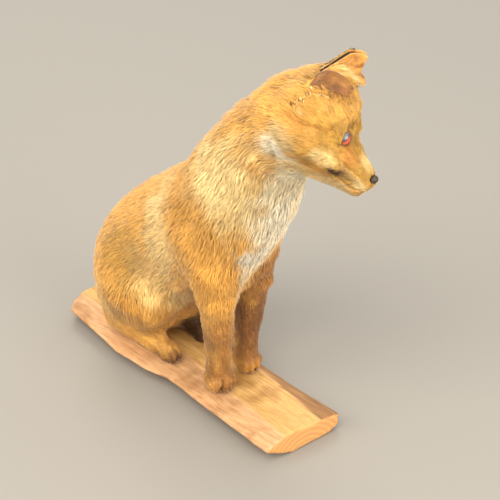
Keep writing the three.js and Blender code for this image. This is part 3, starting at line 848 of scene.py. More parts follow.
def hideMarkingAndTearShade(points):
    # the hide has the coat's markings, and along the tear it is painted nearly black: painted shade in the
    # sunken, gaping groove of the tear
    far, way = tearDistance(headLocal(points))
    ragged = np.maximum(far + 0.8 * noise(points, 2.6, 12), 0)
    mask = (0.9 * np.exp(-(ragged / 2.8) ** 2) * step(-0.1, 0.3, way) * step(6.5, 2.5, way))[:, None]
    return markingAt(points) * (1 - mask) + coatColours["black"] * 0.4 * mask


def giveColour(mesh, name, colours):
    layer = mesh.attributes.new(name, "FLOAT_COLOR", "POINT")
    rgba = np.ones((len(colours), 4), np.float32)
    rgba[:, :3] = colours
    layer.data.foreach_set("color", rgba.ravel())


def giveValue(mesh, name, values):
    layer = mesh.attributes.new(name, "FLOAT", "POINT")
    layer.data.foreach_set("value", values.astype(np.float32))


def skinMaterial():
    # tanned hide with short dense underfur: dull, with fine pores and creases
    material, tree, shader, where = newMaterial("tanned_hide_with_underfur", {
        "Roughness": 0.85, "IOR": 1.45})
    marking = addNode(tree, "ShaderNodeAttribute", {"attribute_name": "marking"}).outputs["Color"]
    fine = addNode(tree, "ShaderNodeTexNoise", {"Scale": 900, "Detail": 4}, {"Vector": where}).outputs["Fac"]
    shade = addNode(tree, "ShaderNodeMapRange", {"To Min": 0.78, "To Max": 1.08}, {"Value": fine})
    mixed = addNode(tree, "ShaderNodeVectorMath", {"operation": "SCALE"},
                    {0: marking, "Scale": shade.outputs["Result"]})
    bump = addNode(tree, "ShaderNodeBump", {"Strength": 0.5, "Distance": 0.0006}, {"Height": fine})
    feed(tree, shader, {"Base Color": mixed.outputs["Vector"], "Normal": bump.outputs["Normal"]})
    return material


def coatMaterial():
    # guard hairs in tufts: each darker at its root and paler at its tip, with a soft sheen
    material, tree, shader = newMaterial("faded_fox_fur_in_tufts", {
        "Roughness": 0.55, "IOR": 1.55, "Specular IOR Level": 0.25,
        "Sheen Weight": 0.15, "Sheen Roughness": 0.4})[:3]
    marking, along, shade = (addNode(tree, "ShaderNodeAttribute", {"attribute_name": name})
                             for name in ("marking", "along", "shade"))
    rootToTip = addNode(tree, "ShaderNodeMapRange", {"To Min": 0.92, "To Max": 1.08},
                        {"Value": along.outputs["Fac"]})
    both = addNode(tree, "ShaderNodeMath", {"operation": "MULTIPLY"},
                   {0: rootToTip.outputs["Result"], 1: shade.outputs["Fac"]})
    mixed = addNode(tree, "ShaderNodeVectorMath", {"operation": "SCALE"},
                    {0: marking.outputs["Color"], "Scale": both.outputs["Value"]})
    feed(tree, shader, {"Base Color": mixed.outputs["Vector"]})
    return material


skinPiece = newObject("skin", skinMesh, skinMaterial())
giveColour(skinMesh, "marking", hideMarkingAndTearShade(places(skinMesh)))
fixed(skinPiece, "coat", fleshNodes)

print("stage: unwrap of the skin")


def unwrap(piece):
    bpy.context.view_layer.objects.active = piece
    piece.select_set(True)
    bpy.ops.object.mode_set(mode="EDIT")
    bpy.ops.mesh.select_all(action="SELECT")
    bpy.ops.uv.smart_project(angle_limit=math.radians(66), island_margin=0.002)
    bpy.ops.object.mode_set(mode="OBJECT")
    piece.select_set(False)
    piece.data.uv_layers[0].name = "OFBake"


unwrap(skinPiece)

print("stage: coat")
coatMake = {
    "tufts": 236000,
    "limit": 190000,  # triangles in one piece
    "patch": 0.0028,  # of the unwrap, for one tuft
    "fine": 0.62,  # width of a tuft, as a share of the guides'
    "lift": 0.68,
    "clump": 12,  # tufts to a lock
    "pull": 0.32,  # towards the middle of the lock
    "crowd": 0.85,  # how much thicker short fine hair stands
    "varies": 0.18,  # in length and width
    "belly": 0.42,  # along the tuft
    "worn": 0.04,  # share of darker tufts
    "slab": ((-190, 196), (-48, 54)),  # the wood's reach along x and y
}


def surfaceParts(mesh):
    # triangles, with their corners' places, normals and spots on the unwrap
    mesh.calc_loop_triangles()
    verts = readAll(mesh.loop_triangles, "vertices", 3, np.int32)
    loops = readAll(mesh.loop_triangles, "loops", 3, np.int32)
    corners = places(mesh)[verts]
    edges = corners[:, 1:] - corners[:, :1]
    return {
        "corners": corners,
        "normals": cornerNormals(mesh)[verts],
        "uvs": readAll(mesh.uv_layers["OFBake"].data, "uv", 2)[loops],
        "areas": np.linalg.norm(np.cross(edges[:, 0], edges[:, 1]), axis=1) / 2,
        "middles": corners.mean(1),
    }


def bareSkin(points):
    # places with no hair: eye openings, the lip line, the torn ear, the nose and the soles
    local = headLocal(points)
    bare = (points[:, 2] < foxStands[2] + 0.3) | underFlap(local)
    for side in sides:
        ratio, height = eyeAngles(local, side)
        bare |= (ratio < 1.14) & (np.abs(height) < 6)
    height, along = mouthDistance(local)
    bare |= (np.abs(height) < 0.9) & (along > 0.5)
    for back in (0, 3, 6):  # hair rooted ahead of the tear would lie over it
        far, way = tearDistance(local - np.array([1, 0, 0.1]) * back)
        holes = sum(np.exp(-((way - at) / reach) ** 2) for at, _, reach in tearHoles)
        bare |= far + 0.9 * noise(points, 2.6, 12) < 0.7 + 2.6 * holes
    pad = (local - nose["centre"]) / (np.array(nose["radii"]) + 0.8)
    return bare | ((pad ** 2).sum(1) < 1)


def rootsOn(surface, count, weights):
    picked = rng.choice(len(weights), count, p=weights / weights.sum())
    a = np.sqrt(rng.random(count))[:, None]
    b = rng.random(count)[:, None]
    mix = np.concatenate([1 - a, a * (1 - b), a * b], axis=1)[:, :, None]
    blend = [(surface[name][picked] * mix).sum(1) for name in ("corners", "normals", "uvs")]
    return blend[0], unit(blend[1]), blend[2]


def turned(ways, ups, angles):
    return ways * np.cos(angles)[:, None] + np.cross(ups, ways) * np.sin(angles)[:, None]


def nearestOf(points):
    tree = KDTree(len(points))
    for index, point in enumerate(points):
        tree.insert(point, index)
    tree.balance()
    return lambda point: tree.find(point)[0]


tuftFaces = np.array([(0, 2, 1), (0, 3, 2), (0, 1, 3), (4, 1, 2), (4, 2, 3), (4, 3, 1)])
tuftSpots = np.array([(0, -0.5), (-0.5, -0.1), (0.5, -0.1), (0, -0.1), (0, 0.5)])
tuftAlongs = np.array([0, 0.42, 0.42, 0.42, 1.0])
furMaterial = coatMaterial()


def tuftMesh(name, corners, normals, colours, shades, spots):
    # each tuft is a closed spindle: a root, a belly of three corners and a tip
    count = len(corners)
    triangles = (tuftFaces[None] + (np.arange(count) * 5)[:, None, None]).reshape(-1, 3)
    mesh = bpy.data.meshes.new(name)
    mesh.vertices.add(count * 5)
    mesh.vertices.foreach_set("co", (corners * mm).astype(np.float32).ravel())
    mesh.loops.add(len(triangles) * 3)
    mesh.loops.foreach_set("vertex_index", triangles.astype(np.int32).ravel())
    mesh.polygons.add(len(triangles))
    mesh.polygons.foreach_set("loop_start", np.arange(0, len(triangles) * 3, 3, dtype=np.int32))
    mesh.update(calc_edges=True)
    giveColour(mesh, "marking", np.repeat(colours, 5, axis=0))
    giveValue(mesh, "shade", np.repeat(shades, 5))
    giveValue(mesh, "along", np.tile(tuftAlongs, count))
    uvs = (spots[:, None, :] + tuftSpots[None] * coatMake["patch"]).reshape(-1, 2)
    layer = mesh.uv_layers.new(name="OFBake")
    layer.data.foreach_set("uv", uvs[triangles.ravel()].astype(np.float32).ravel())
    piece = newObject(name, mesh, furMaterial)
    mesh.normals_split_custom_set_from_vertices(np.repeat(normals, 5, axis=0).astype(np.float32))
    return piece


def growCoat(name, surface, count, comb, marking, bare, slotName="coat"):
    sizes = comb(surface["middles"])[1]
    weights = surface["areas"] / (sizes[:, 0] * sizes[:, 2]) ** coatMake["crowd"]
    roots, ups, spots = rootsOn(surface, count, weights * ~bare(surface["middles"]))
    keep = ~bare(roots)
    roots, ups, spots = roots[keep], ups[keep], spots[keep]
    count = len(roots)

    def varied(least, most, mean=1, spread=coatMake["varies"]):
        return np.clip(rng.normal(mean, spread, count), least, most)

    ways, sizes = comb(roots)
    length, depth, width = sizes.T
    length = length * (1 - 0.2 * step(10, 16, length))
    # the lie of the coat wanders a little from place to place and from tuft to tuft
    ways = unit(ways - ups * (ways * ups).sum(1, keepdims=True))
    swing = 0.14 * noise(roots, 30, 41) + 0.09 * noise(roots, 9, 42) + rng.normal(0, 0.1, count)
    ways = turned(ways, ups, swing)
    length = length * varied(0.5, 1.5)
    rise = depth * coatMake["lift"] * varied(0.2, 1.4, 0.8, 0.24)
    rise = rise * (1 + 0.22 * noise(roots, 7, 43))
    # tufts of one lock lean together
    nearest = nearestOf(roots[::coatMake["clump"]])
    pull = np.array([nearest(root) for root in roots]) - roots
    pull -= ups * (pull * ups).sum(1, keepdims=True)
    far = np.linalg.norm(pull, axis=1, keepdims=True)
    pull = pull * np.minimum(1, 0.4 * length[:, None] / np.maximum(far, 1e-6)) * coatMake["pull"]
    start = roots - ups * 0.5
    middle = roots + ways * (length * coatMake["belly"])[:, None]
    middle = middle + ups * (rise * 0.85)[:, None] + pull * 0.45
    tip = roots + ways * (length * 0.97)[:, None] + ups * rise[:, None] + pull
    (back, front), (right, left) = coatMake["slab"]
    for line in (middle, tip):  # nothing reaches through the slab
        over = (line[:, 0] > back) & (line[:, 0] < front) & (line[:, 1] > right) & (line[:, 1] < left)
        line[:, 2] = np.where(over, np.maximum(line[:, 2], foxStands[2] + 0.4), line[:, 2])
    half = (width * coatMake["fine"] * varied(0.6, 1.5) / 2)[:, None]
    aside = np.cross(ups, ways) * half
    corners = np.stack([start, middle - aside, middle + aside, middle + ups * half * 0.9, tip], 1)
    drawn = roots - fromHead([-70, 0, 0])
    drawn = drawn - 0.7 * ways * (drawn * ways).sum(1, keepdims=True)  # noise drawn out along the hair
    shades = 1 + (0.14 + 0.14 * step(9, 5, length)) * noise(drawn, 2.0, 51) + 0.12 * noise(drawn, 4.2, 52)
    shades = np.clip(shades * rng.normal(1, 0.07, count), 0.6, 1.35)
    shades = np.where(rng.random(count) < coatMake["worn"], shades * 0.75, shades)
    soft = unit(ups + 0.25 * ways + 0.16 * rng.normal(0, 1, (count, 3)))
    values = [corners, soft, marking(roots), shades, spots]
    order = np.argsort(roots[:, 0] + 2 * roots[:, 2])
    pieces = math.ceil(count * len(tuftFaces) / coatMake["limit"])
    for index, some in enumerate(np.array_split(order, pieces)):
        tuftName = f"{name}_{index + 1}" if pieces > 1 else name
        fixed(tuftMesh(tuftName, *[value[some] for value in values]), slotName)
    print(name, "has", count, "tufts in", pieces, "pieces")


# the nostril's place on the pad is in shares of the radii, aside and up
nose = {"centre": np.array([-3.4, 0, -3.2]), "radii": (4.2, 4.9, 4.7), "nostril": (0.52, -0.12)}

growCoat("coat", surfaceParts(skinMesh), coatMake["tufts"], bodyComb, markingAt, bareSkin)

print("stage: eyes")


def eyeSpot(side, ratio, turn, lift):
    # the place that eyeAngles reads as this ratio, this way round the opening, this far off the ball
    across, up = math.cos(turn), math.sin(turn)
    angle = math.radians(ratio / math.hypot(across / eye["halfWide"], up / eye["halfTall"]))
    way = (eye["facing"] * math.cos(angle)
           + (eye["along"] * across + eye["upright"] * up) * math.sin(angle))
    return (eye["at"][side] + way * (eye["radius"] + lift)) * sides[side]


def makeEye(side):
    bm = bmesh.new()
    bmesh.ops.create_uvsphere(bm, u_segments=48, v_segments=32, radius=1)
    mesh = orderedMesh(bm, "eyeball_" + side)
    setPlaces(mesh, fromHead(eye["at"][side] * sides[side] + places(mesh) * mm * eye["radius"]))
    return newObject("eyeball_" + side, mesh, eyeMaterial(side))


def eyeMaterial(side):
    # clouded glass, cast and painted behind: milky grey above, partly its clouding and partly a painted
    # reflection, and flaking red low and forward
    material, tree, shader, where = newMaterial("clouded_glass_painted_reflection_" + side, {
        "Roughness": 0.22, "IOR": 1.52, "Coat Weight": 0.6, "Coat Roughness": 0.12})
    middle = fromHead(eye["at"][side] * sides[side]) * mm
    lowWay = headTurn @ (unit(np.array([0.75, -0.48, -0.45])) * sides[side])
    off = addNode(tree, "ShaderNodeVectorMath", {"operation": "SUBTRACT", 1: tuple(middle)}, {0: where})
    low = addNode(tree, "ShaderNodeVectorMath", {"operation": "DOT_PRODUCT", 1: tuple(lowWay)},
                  {0: off.outputs["Vector"]})
    clouds = addNode(tree, "ShaderNodeTexNoise", {"Scale": 420, "Detail": 4}, {"Vector": where})
    ragged = addNode(tree, "ShaderNodeMath", {"operation": "MULTIPLY_ADD", 1: 0.0022},
                     {0: clouds.outputs["Fac"], 2: low.outputs["Value"]})
    spread = addNode(tree, "ShaderNodeMapRange", {"From Min": -0.0066, "From Max": 0.0054},
                     {"Value": ragged.outputs["Value"]})
    ramp = addNode(tree, "ShaderNodeValToRGB", {"stops": [
        (0.0, "#2b292c"), (0.2, "#6f6f78"), (0.42, "#55535a"),
        (0.52, "#3a2a2c"), (0.6, "#a84833"), (1.0, "#cf5f40"),
    ]}, {"Fac": spread.outputs["Result"]})
    feed(tree, shader, {"Base Color": ramp.outputs["Color"]})
    return material


lids = {"thick": 0.075, "lift": 0.35, "height": 0.6}


def makeLids(side):
    # the bare dark rim of the lids, a ring that follows the opening
    bm = bmesh.new()
    bmesh.ops.create_circle(bm, segments=10, radius=lids["thick"])
    bmesh.ops.rotate(bm, verts=bm.verts, matrix=Matrix.Rotation(math.pi / 2, 3, "X"))
    bmesh.ops.translate(bm, verts=bm.verts, vec=(1, 0, 0))
    bmesh.ops.spin(bm, geom=bm.verts[:] + bm.edges[:], cent=(0, 0, 0), axis=(0, 0, 1), dvec=(0, 0, 0),
                   angle=2 * math.pi, steps=64, use_merge=True)
    for vert in bm.verts:
        x, y, z = vert.co
        lift = lids["lift"] + z / lids["thick"] * lids["height"]
        spot = eyeSpot(side, math.hypot(x, y) + 0.04, math.atan2(y, x), lift)
        vert.co = Vector(fromHead(spot) * mm)
    bmesh.ops.recalc_face_normals(bm, faces=bm.faces)
    material = leatherMaterial("dried_lid_skin", "#4a3528", "#7b5a3c", 700)
    return newObject("lids_" + side, orderedMesh(bm, "lids_" + side), material)


def leatherMaterial(name, dark, light, scale, rough=0.6):
    # dried bare skin: leathery, with fine wrinkles and paler worn heights
    if name in bpy.data.materials:
        return bpy.data.materials[name]
    material, tree, shader, where = newMaterial(name, {"Roughness": rough, "IOR": 1.5})
    grain = addNode(tree, "ShaderNodeTexNoise", {"Scale": scale, "Detail": 5}, {"Vector": where})
    grain = grain.outputs["Fac"]
    cells = addNode(tree, "ShaderNodeTexVoronoi", {"Scale": scale * 1.6}, {"Vector": where})
    ramp = addNode(tree, "ShaderNodeValToRGB", {"stops": [(0.32, dark), (0.7, light)]}, {"Fac": grain})
    height = addNode(tree, "ShaderNodeMath", {"operation": "ADD"}, {0: grain, 1: cells.outputs["Distance"]})
    relief = addNode(tree, "ShaderNodeBump", {"Strength": 0.6, "Distance": 0.0004},
                     {"Height": height.outputs["Value"]})
    feed(tree, shader, {"Base Color": ramp.outputs["Color"], "Normal": relief.outputs["Normal"]})
    return material


for side in sides:
    fixed(makeEye(side), "eye_glass", ["eye_" + side])
    fixed(makeLids(side), "nose_skin")

print("stage: nose, claws and whiskers")


def makeNose():
    # a small shrunken pad with a groove down its middle and a slit nostril on each side
    bm = bmesh.new()
    bmesh.ops.create_uvsphere(bm, u_segments=56, v_segments=36, radius=1)
    bmesh.ops.rotate(bm, verts=bm.verts, matrix=Matrix.Rotation(math.pi / 2, 3, "Y"))
    mesh = orderedMesh(bm, "nose_pad")
    shape = places(mesh) * mm
    x, y, z = shape.T
    ay = np.abs(y)
    reach = 1 + 0.05 * step(0.1, 0.7, z) - 0.1 * np.exp(-(y / 0.1) ** 2) * step(0.1, 0.5, x)
    wide, high = nose["nostril"]
    hole = np.exp(-((ay - wide - 0.25 * (0.75 - x)) / 0.17) ** 2 - ((z - high) / 0.2) ** 2)
    hole = hole * step(0.2, 0.5, x)
    slit = np.exp(-((z - high + 0.08) / 0.09) ** 2) * step(0.45, 0.7, ay) * step(-0.1, 0.3, x)
    reach = reach - 0.34 * hole - 0.14 * slit
    reach = reach * (1 - 0.14 * step(-0.2, -1.0, z))
    reach = reach + 0.02 * noise(shape, 0.35, 61)
    setPlaces(mesh, fromHead(nose["centre"] + shape * np.array(nose["radii"]) * reach[:, None]))
    return newObject("nose_pad", mesh, leatherMaterial("dried_nose_skin", "#211915", "#4f3d31", 900, 0.5))


fixed(makeNose(), "nose_skin", ["nose"])
skinForm = bmesh.new()
skinForm.from_mesh(skinMesh)
hide = BVHTree.FromBMesh(skinForm)
skinForm.free()

# each foot: the middle of its toes in the body's frame, and how far apart the claws stand
feet = {
    "fore_right": (1, -24, 5.6),
    "fore_left": (-8, 24, 5.6),
    "hind_right": (-82, -30, 5.2),
    "hind_left": (-93, 25, 5.2),
}
claws = {"length": 10.5, "thick": 1.5, "level": 6.0, "droop": 0.45, "ahead": 60, "sunk": 2.6}


def makeClaws():
    # small curved claws, found by looking at each toe from in front
    bm = bmesh.new()
    bmesh.ops.create_cone(bm, cap_ends=True, segments=10, radius1=1, radius2=0.1, depth=1)
    long = [edge for edge in bm.edges if abs(edge.verts[0].co.z - edge.verts[1].co.z) > 0.5]
    bmesh.ops.subdivide_edges(bm, edges=long, cuts=4)
    claw = orderedMesh(bm, "claw")
    straight = places(claw) * mm
    along = straight[:, 2] + 0.5
    wide = claws["thick"] * (1 - 0.35 * along)
    bent = np.stack([along * claws["length"] - claws["sunk"], straight[:, 0] * wide * 0.8,
                     0.8 - straight[:, 1] * wide * 1.2 - claws["droop"] * claws["length"] * along ** 2], 1)
    whole = bmesh.new()
    for x0, y0, apart in feet.values():
        for toe in (-1.5, -0.5, 0.5, 1.5):
            start = np.array([x0 + claws["ahead"], y0 + toe * apart, claws["level"]]) + foxStands
            hit = hide.ray_cast(Vector(start * mm), Vector((-1, 0, 0)))[0]
            if hit:
                setPlaces(claw, bent + np.array(hit) / mm)
                whole.from_mesh(claw)
    bmesh.ops.recalc_face_normals(whole, faces=whole.faces)
    return newObject("claws", orderedMesh(whole, "claws"), hornMaterial())


def hornMaterial():
    # claw horn: dark and pale in faint streaks
    material, tree, shader, where = newMaterial("worn_claw_horn", {"Roughness": 0.35, "IOR": 1.55})
    streak = addNode(tree, "ShaderNodeTexNoise", {"Scale": 500, "Detail": 3}, {"Vector": where})
    ramp = addNode(tree, "ShaderNodeValToRGB", {"stops": [(0.35, "#4d3d2e"), (0.65, "#a68a64")]},
                   {"Fac": streak.outputs["Fac"]})
    feed(tree, shader, {"Base Color": ramp.outputs["Color"]})
    return material


fixed(makeClaws(), "nose_skin")

# count, first place, last place, way, length, thickness; in the head's frame, for the left side
whiskerRows = [
    (7, (-10, 9, -11), (-30, 17, -9), (-0.55, 0.75, -0.35), 26, 0.32),
    (7, (-9, 9, -15), (-27, 16, -15), (-0.5, 0.6, -0.6), 20, 0.3),
    (9, (-4, 4, -26), (-22, 9, -34), (0.1, 0.3, -0.95), 6, 0.3),  # bristles of the chin
    (6, (-2, 5, -17), (-8, 9, -18), (0.3, 0.4, -0.85), 5, 0.28),
]
bristle = 10  # the length below which they are pale


def tuftsOf(name, rows):
    # each row is one tuft: its corners, its normal and its colour
    corners, normals, colours = (np.array(part) for part in zip(*rows))
    return tuftMesh(name, corners, normals, colours, np.ones(len(rows)), np.full((len(rows), 2), 0.5))


def makeWhiskers():
    rows = []
    for count, first, last, way, length, thick in whiskerRows:
        for index in range(count):
            for mirror in sides.values():
                part = (index + rng.random() * 0.6) / count
                root = np.array(first) * (1 - part) + np.array(last) * part
                along = unit(np.array(way) + rng.normal(0, 0.12, 3))
                reach = length * rng.uniform(0.6, 1.1)
                sag = np.array([-0.25, 0, -0.3]) * reach * 0.5
                across = unit(np.cross(along, [1, 0.2, 0.3]))
                other = np.cross(along, across)
                middle = root + along * reach * 0.4
                half = across * thick / 2 * mirror[1]  # faces of a mirrored one point outwards too
                line = [root - along * 2, middle - half, middle + half, middle + other * thick * 0.8,
                        root + along * reach + sag]
                rows.append(([fromHead(point * mirror) for point in line], headTurn @ (unit(other) * mirror),
                             coatColours["cream" if length < bristle else "dark"]))
    return tuftsOf("whiskers", rows)


fixed(makeWhiskers(), "coat")

print("stage: ears")
ears = {
    # the left one stands: its inside's foot and top, each from the rear to the front
    "foot": ((-119, 4, 35), (-87, 29, 43)),
    "top": ((-110, 15, 71), (-96, 26, 77)),
    "back": (-0.58, 0.8, -0.09),  # from the inside to the back
    "leaf": 1.1,
    "slit": 6.4,  # from the inside leaf to the back one
    "furTop": 68,
    "fringe": (-103.0, 16.5, 39.0),
    # tufts of each leaf's fur, their way, length, depth and width, two colours and their balance
    "fur": {
        "coat_ear_left": (4200, ((0.2, -0.1, 0.9), 4.5, 1.2, 0.8), ("gold", "pale", 0.5), "brown_coat"),
        "coat_ear_right": (6000, ((0.9, 0.2, 0.1), 4.5, 1.0, 0.65), ("brown", "dark", 0.5), "brown_coat"),
        "coat_ear_fringe": (1500, ((0.75, 0.45, 0.5), 11, 3.0, 0.9), ("gold", "pale", 0.3), "pale_coat"),
    },
}


def leftEarPoint(u, side, lift):
    across = (side + 1) / 2
    low, high = (np.array(rear, float) * (1 - across) + np.array(front, float) * across
                 for rear, front in (ears["foot"], ears["top"]))
    place = low * (1 - u) + high * u
    lobe = 9 * step(0.4, 1, side) * math.exp(-((u - 0.1) / 0.16) ** 2)
    place = place + np.array([lobe, lobe, 0])
    cup = 3 * (1 - side * side) * min(1, 2 * u)
    return place + np.array(ears["back"]) * (cup + lift)


def rightEarPoint(u, side, lift):
    # the flap lies on the crown, a little raised along its middle and at its tip, and sunk at its foot
    u = 0.2 + 0.8 * u
    spot = flapSpot(u, side)
    out = unit(np.array(flap["out"], float))
    drops = []
    for du, dside in flap["probes"]:
        near = flapSpot(min(max(u + du, 0), 1), side + dside)
        hit = hide.ray_cast(Vector(fromHead(near + out * 25) * mm), Vector(headTurn @ -out))[0]
        drops.append(np.clip((headLocal(np.array(hit) / mm) - near) @ out, -3, 3) if hit else 0)
    drop = np.mean(drops)
    rise = flap["rise"] * (1 - 0.5 * side * side) + 0.8 * u - 4 * step(0.4, 0.15, u)
    return spot + out * (drop + rise + lift)


def makeLeaf(name, pointOf, lift, thick, ragged, material, slotName="ear_skin", nodes=()):
    # one skin of an ear, u along it and side across it, with a frayed edge
    bm = bmesh.new()
    bmesh.ops.create_grid(bm, x_segments=34, y_segments=30, size=1)
    shapes = np.array([vert.co for vert in bm.verts])
    shapes = shapes / np.abs(shapes).max()
    fray = noise(shapes * 10 + 50, 2.2, 71) * 0.6 + noise(shapes * 10 + 50, 0.9, 72) * 0.4
    ripple = 0.35 * noise(shapes * 10 + 20, 4, 73) + 0.15 * noise(shapes * 10, 1.5, 74)
    for vert, shape, torn, wave in zip(bm.verts, shapes, fray, ripple):
        u = (shape[0] + 1) / 2
        u = u * (1 - ragged[0] * (0.5 + 0.5 * torn) * u)
        edge = ragged[1] if shape[1] < 0 else ragged[2]
        side = shape[1] * (1 - edge * (0.5 + 0.5 * torn) * abs(shape[1]) ** 3)
        vert.co = Vector(fromHead(pointOf(u, side, lift + wave)) * mm)
    bmesh.ops.recalc_face_normals(bm, faces=bm.faces)
    # the second wall keeps a plain distance, because an even thickness grows long spikes at sharp folds
    wall = [part for part in bmesh.ops.extrude_face_region(bm, geom=bm.faces[:], use_keep_orig=True)["geom"]
            if isinstance(part, bmesh.types.BMVert)]
    bm.normal_update()
    for vert, way in [(vert, vert.normal.copy()) for vert in wall]:
        vert.co -= way * thick * mm
    bmesh.ops.recalc_face_normals(bm, faces=bm.faces)
    piece = newObject(name, orderedMesh(bm, name), material)
    unwrap(piece)
    fixed(piece, slotName, nodes)
    return piece


def parchmentMaterial():
    # dried ear skin, scraped thin: golden and matt, browner in broad patches, with fine veins
    material, tree, shader, where = newMaterial("dried_parchment_skin", {"Roughness": 0.5, "IOR": 1.5})
    broad = addNode(tree, "ShaderNodeTexNoise", {"Scale": 90, "Detail": 5, "Distortion": 0.6},
                    {"Vector": where})
    ramp = addNode(tree, "ShaderNodeValToRGB", {"stops": [
        (0.32, "#8f5c29"), (0.5, "#c08a48"), (0.7, "#d9a75c"),
    ]}, {"Fac": broad.outputs["Fac"]})
    fine = addNode(tree, "ShaderNodeTexNoise", {"Scale": 600, "Detail": 4}, {"Vector": where})
    relief = addNode(tree, "ShaderNodeBump", {"Strength": 0.5, "Distance": 0.0006},
                     {"Height": fine.outputs["Fac"]})
    feed(tree, shader, {"Base Color": ramp.outputs["Color"], "Normal": relief.outputs["Normal"]})
    return material


def plainComb(way, *sizes):
    way = headTurn @ unit(np.array(way, float))
    return lambda points: (np.tile(way, (len(points), 1)), np.tile(sizes, (len(points), 1)).astype(float))


def plainMarking(name, other, lean):
    def marking(points):
        share = np.clip(lean + 0.5 * noise(points, 9, 81), 0, 1)[:, None]
        return coatColours[name] * (1 - share) + coatColours[other] * share
    return marking


def makeEars():
    parchment = parchmentMaterial()
    inside = makeLeaf("ear_left_inside", leftEarPoint, 0.2, ears["leaf"], (0.05, 0.02, 0.05), parchment,
                      nodes=["ear_left"])
    back = makeLeaf("ear_left_back", leftEarPoint, ears["slit"], ears["leaf"], (0.1, 0.08, 0.05), parchment)
    folded = makeLeaf("ear_right_flap", rightEarPoint, 0.0, flap["thick"], (0.05, 0.32, 0.04), parchment,
                      "brown_coat", ["ear_right"])
    # a dark sheet set between the two leaves paints the shadow in the slit
    makeLeaf("ear_left_slit_shadow", lambda u, side, lift: leftEarPoint(u * 0.86, side * 0.9, lift), 4.9, 3.2,
             (0, 0, 0), leatherMaterial("painted_slit_shadow_sheet", "#17110d", "#33241a", 500, 0.9))

    def nothing(points):
        return np.zeros(len(points), bool)

    def chosen(surface, some):
        return {name: values[some] for name, values in surface.items()}

    def facing(leaf, way, least):
        # the part of a leaf that faces this way
        surface = surfaceParts(leaf.data)
        return chosen(surface, (unit(surface["normals"].mean(1)) @ way) > least)

    outward = headTurn @ unit(np.array(ears["back"]))
    backFur = facing(back, outward, 0.3)
    local = headLocal(backFur["middles"])
    frontEdge = np.array([leftEarPoint(u, 1, ears["slit"]) for u in (0, 0.1, 0.3, 1)])
    backFur = chosen(backFur, (lineDistance(local, frontEdge)[0] > 4) & (local[:, 2] < ears["furTop"]))
    flapFur = facing(folded, headTurn @ np.array([0, 0, 1.0]), 0.1)
    # pale fringe at the foot of the left ear
    rim = facing(inside, -outward, 0.3)
    height = (rim["middles"] - fromHead(ears["fringe"])) @ (headTurn @ np.array([0.25, 0.1, 0.96]))
    for surface, (name, row) in zip((backFur, flapFur, chosen(rim, height < 9)), ears["fur"].items()):
        count, lie, colours, slotName = row
        growCoat(name, surface, count, plainComb(*lie), plainMarking(*colours), nothing, slotName)


makeEars()


shreds = {"count": 64, "start": 0.4, "along": 7.4}  # their reach is counted in points of the tear


def makeShreds():
    # curls of dried skin along the tear
    rows = []
    for index in range(shreds["count"]):
        part = shreds["start"] + shreds["along"] * (index + rng.random()) / shreds["count"]
        at = min(int(part), len(tear) - 2)
        spot = tear[at] + (tear[at + 1] - tear[at]) * (part - at) + rng.normal(0, 0.8, 3)
        ground, up = (np.array(found) for found in hide.find_nearest(Vector(fromHead(spot) * mm))[:2])
        ground = ground / mm
        axis = headTurn @ unit(tear[at + 1] - tear[at])
        way = unit(np.cross(up, axis) * rng.choice([-1, 1]) + axis * rng.normal(0, 0.8))
        across = np.cross(up, way)
        length, half = rng.uniform(2.5, 6.5), rng.uniform(0.35, 0.9)
        middle = ground + way * length * 0.5 + up * rng.uniform(0.8, 2.4)
        tip = ground + way * length + up * rng.uniform(0.2, 3.0)
        rows.append(([ground - up, middle - across * half, middle + across * half, middle + up * 0.35, tip],
                     up, coatColours[rng.choice(["pale", "gold", "tawny", "brown", "grey"])]))
    return tuftsOf("ear_right_shreds", rows)


fixed(makeShreds(), "ear_skin")

print("stage: slab")
slab = {
    "voxel": 1.7,
    "rounds": 10,
    "crest": [(-197, -12), (1, 0), (97, -12), (197, -24)],  # low ridge on the near side of the top
    "farLine": [(-197, 40), (69, 47), (130, 38), (197, 27)],  # where the far bevel starts
    "grain": 0.4,  # height of the worn grain
    "paw": (16, 13),  # the level patch round each foot, and round the rump
    "rump": ((-150, 0), (75, 52)),
}


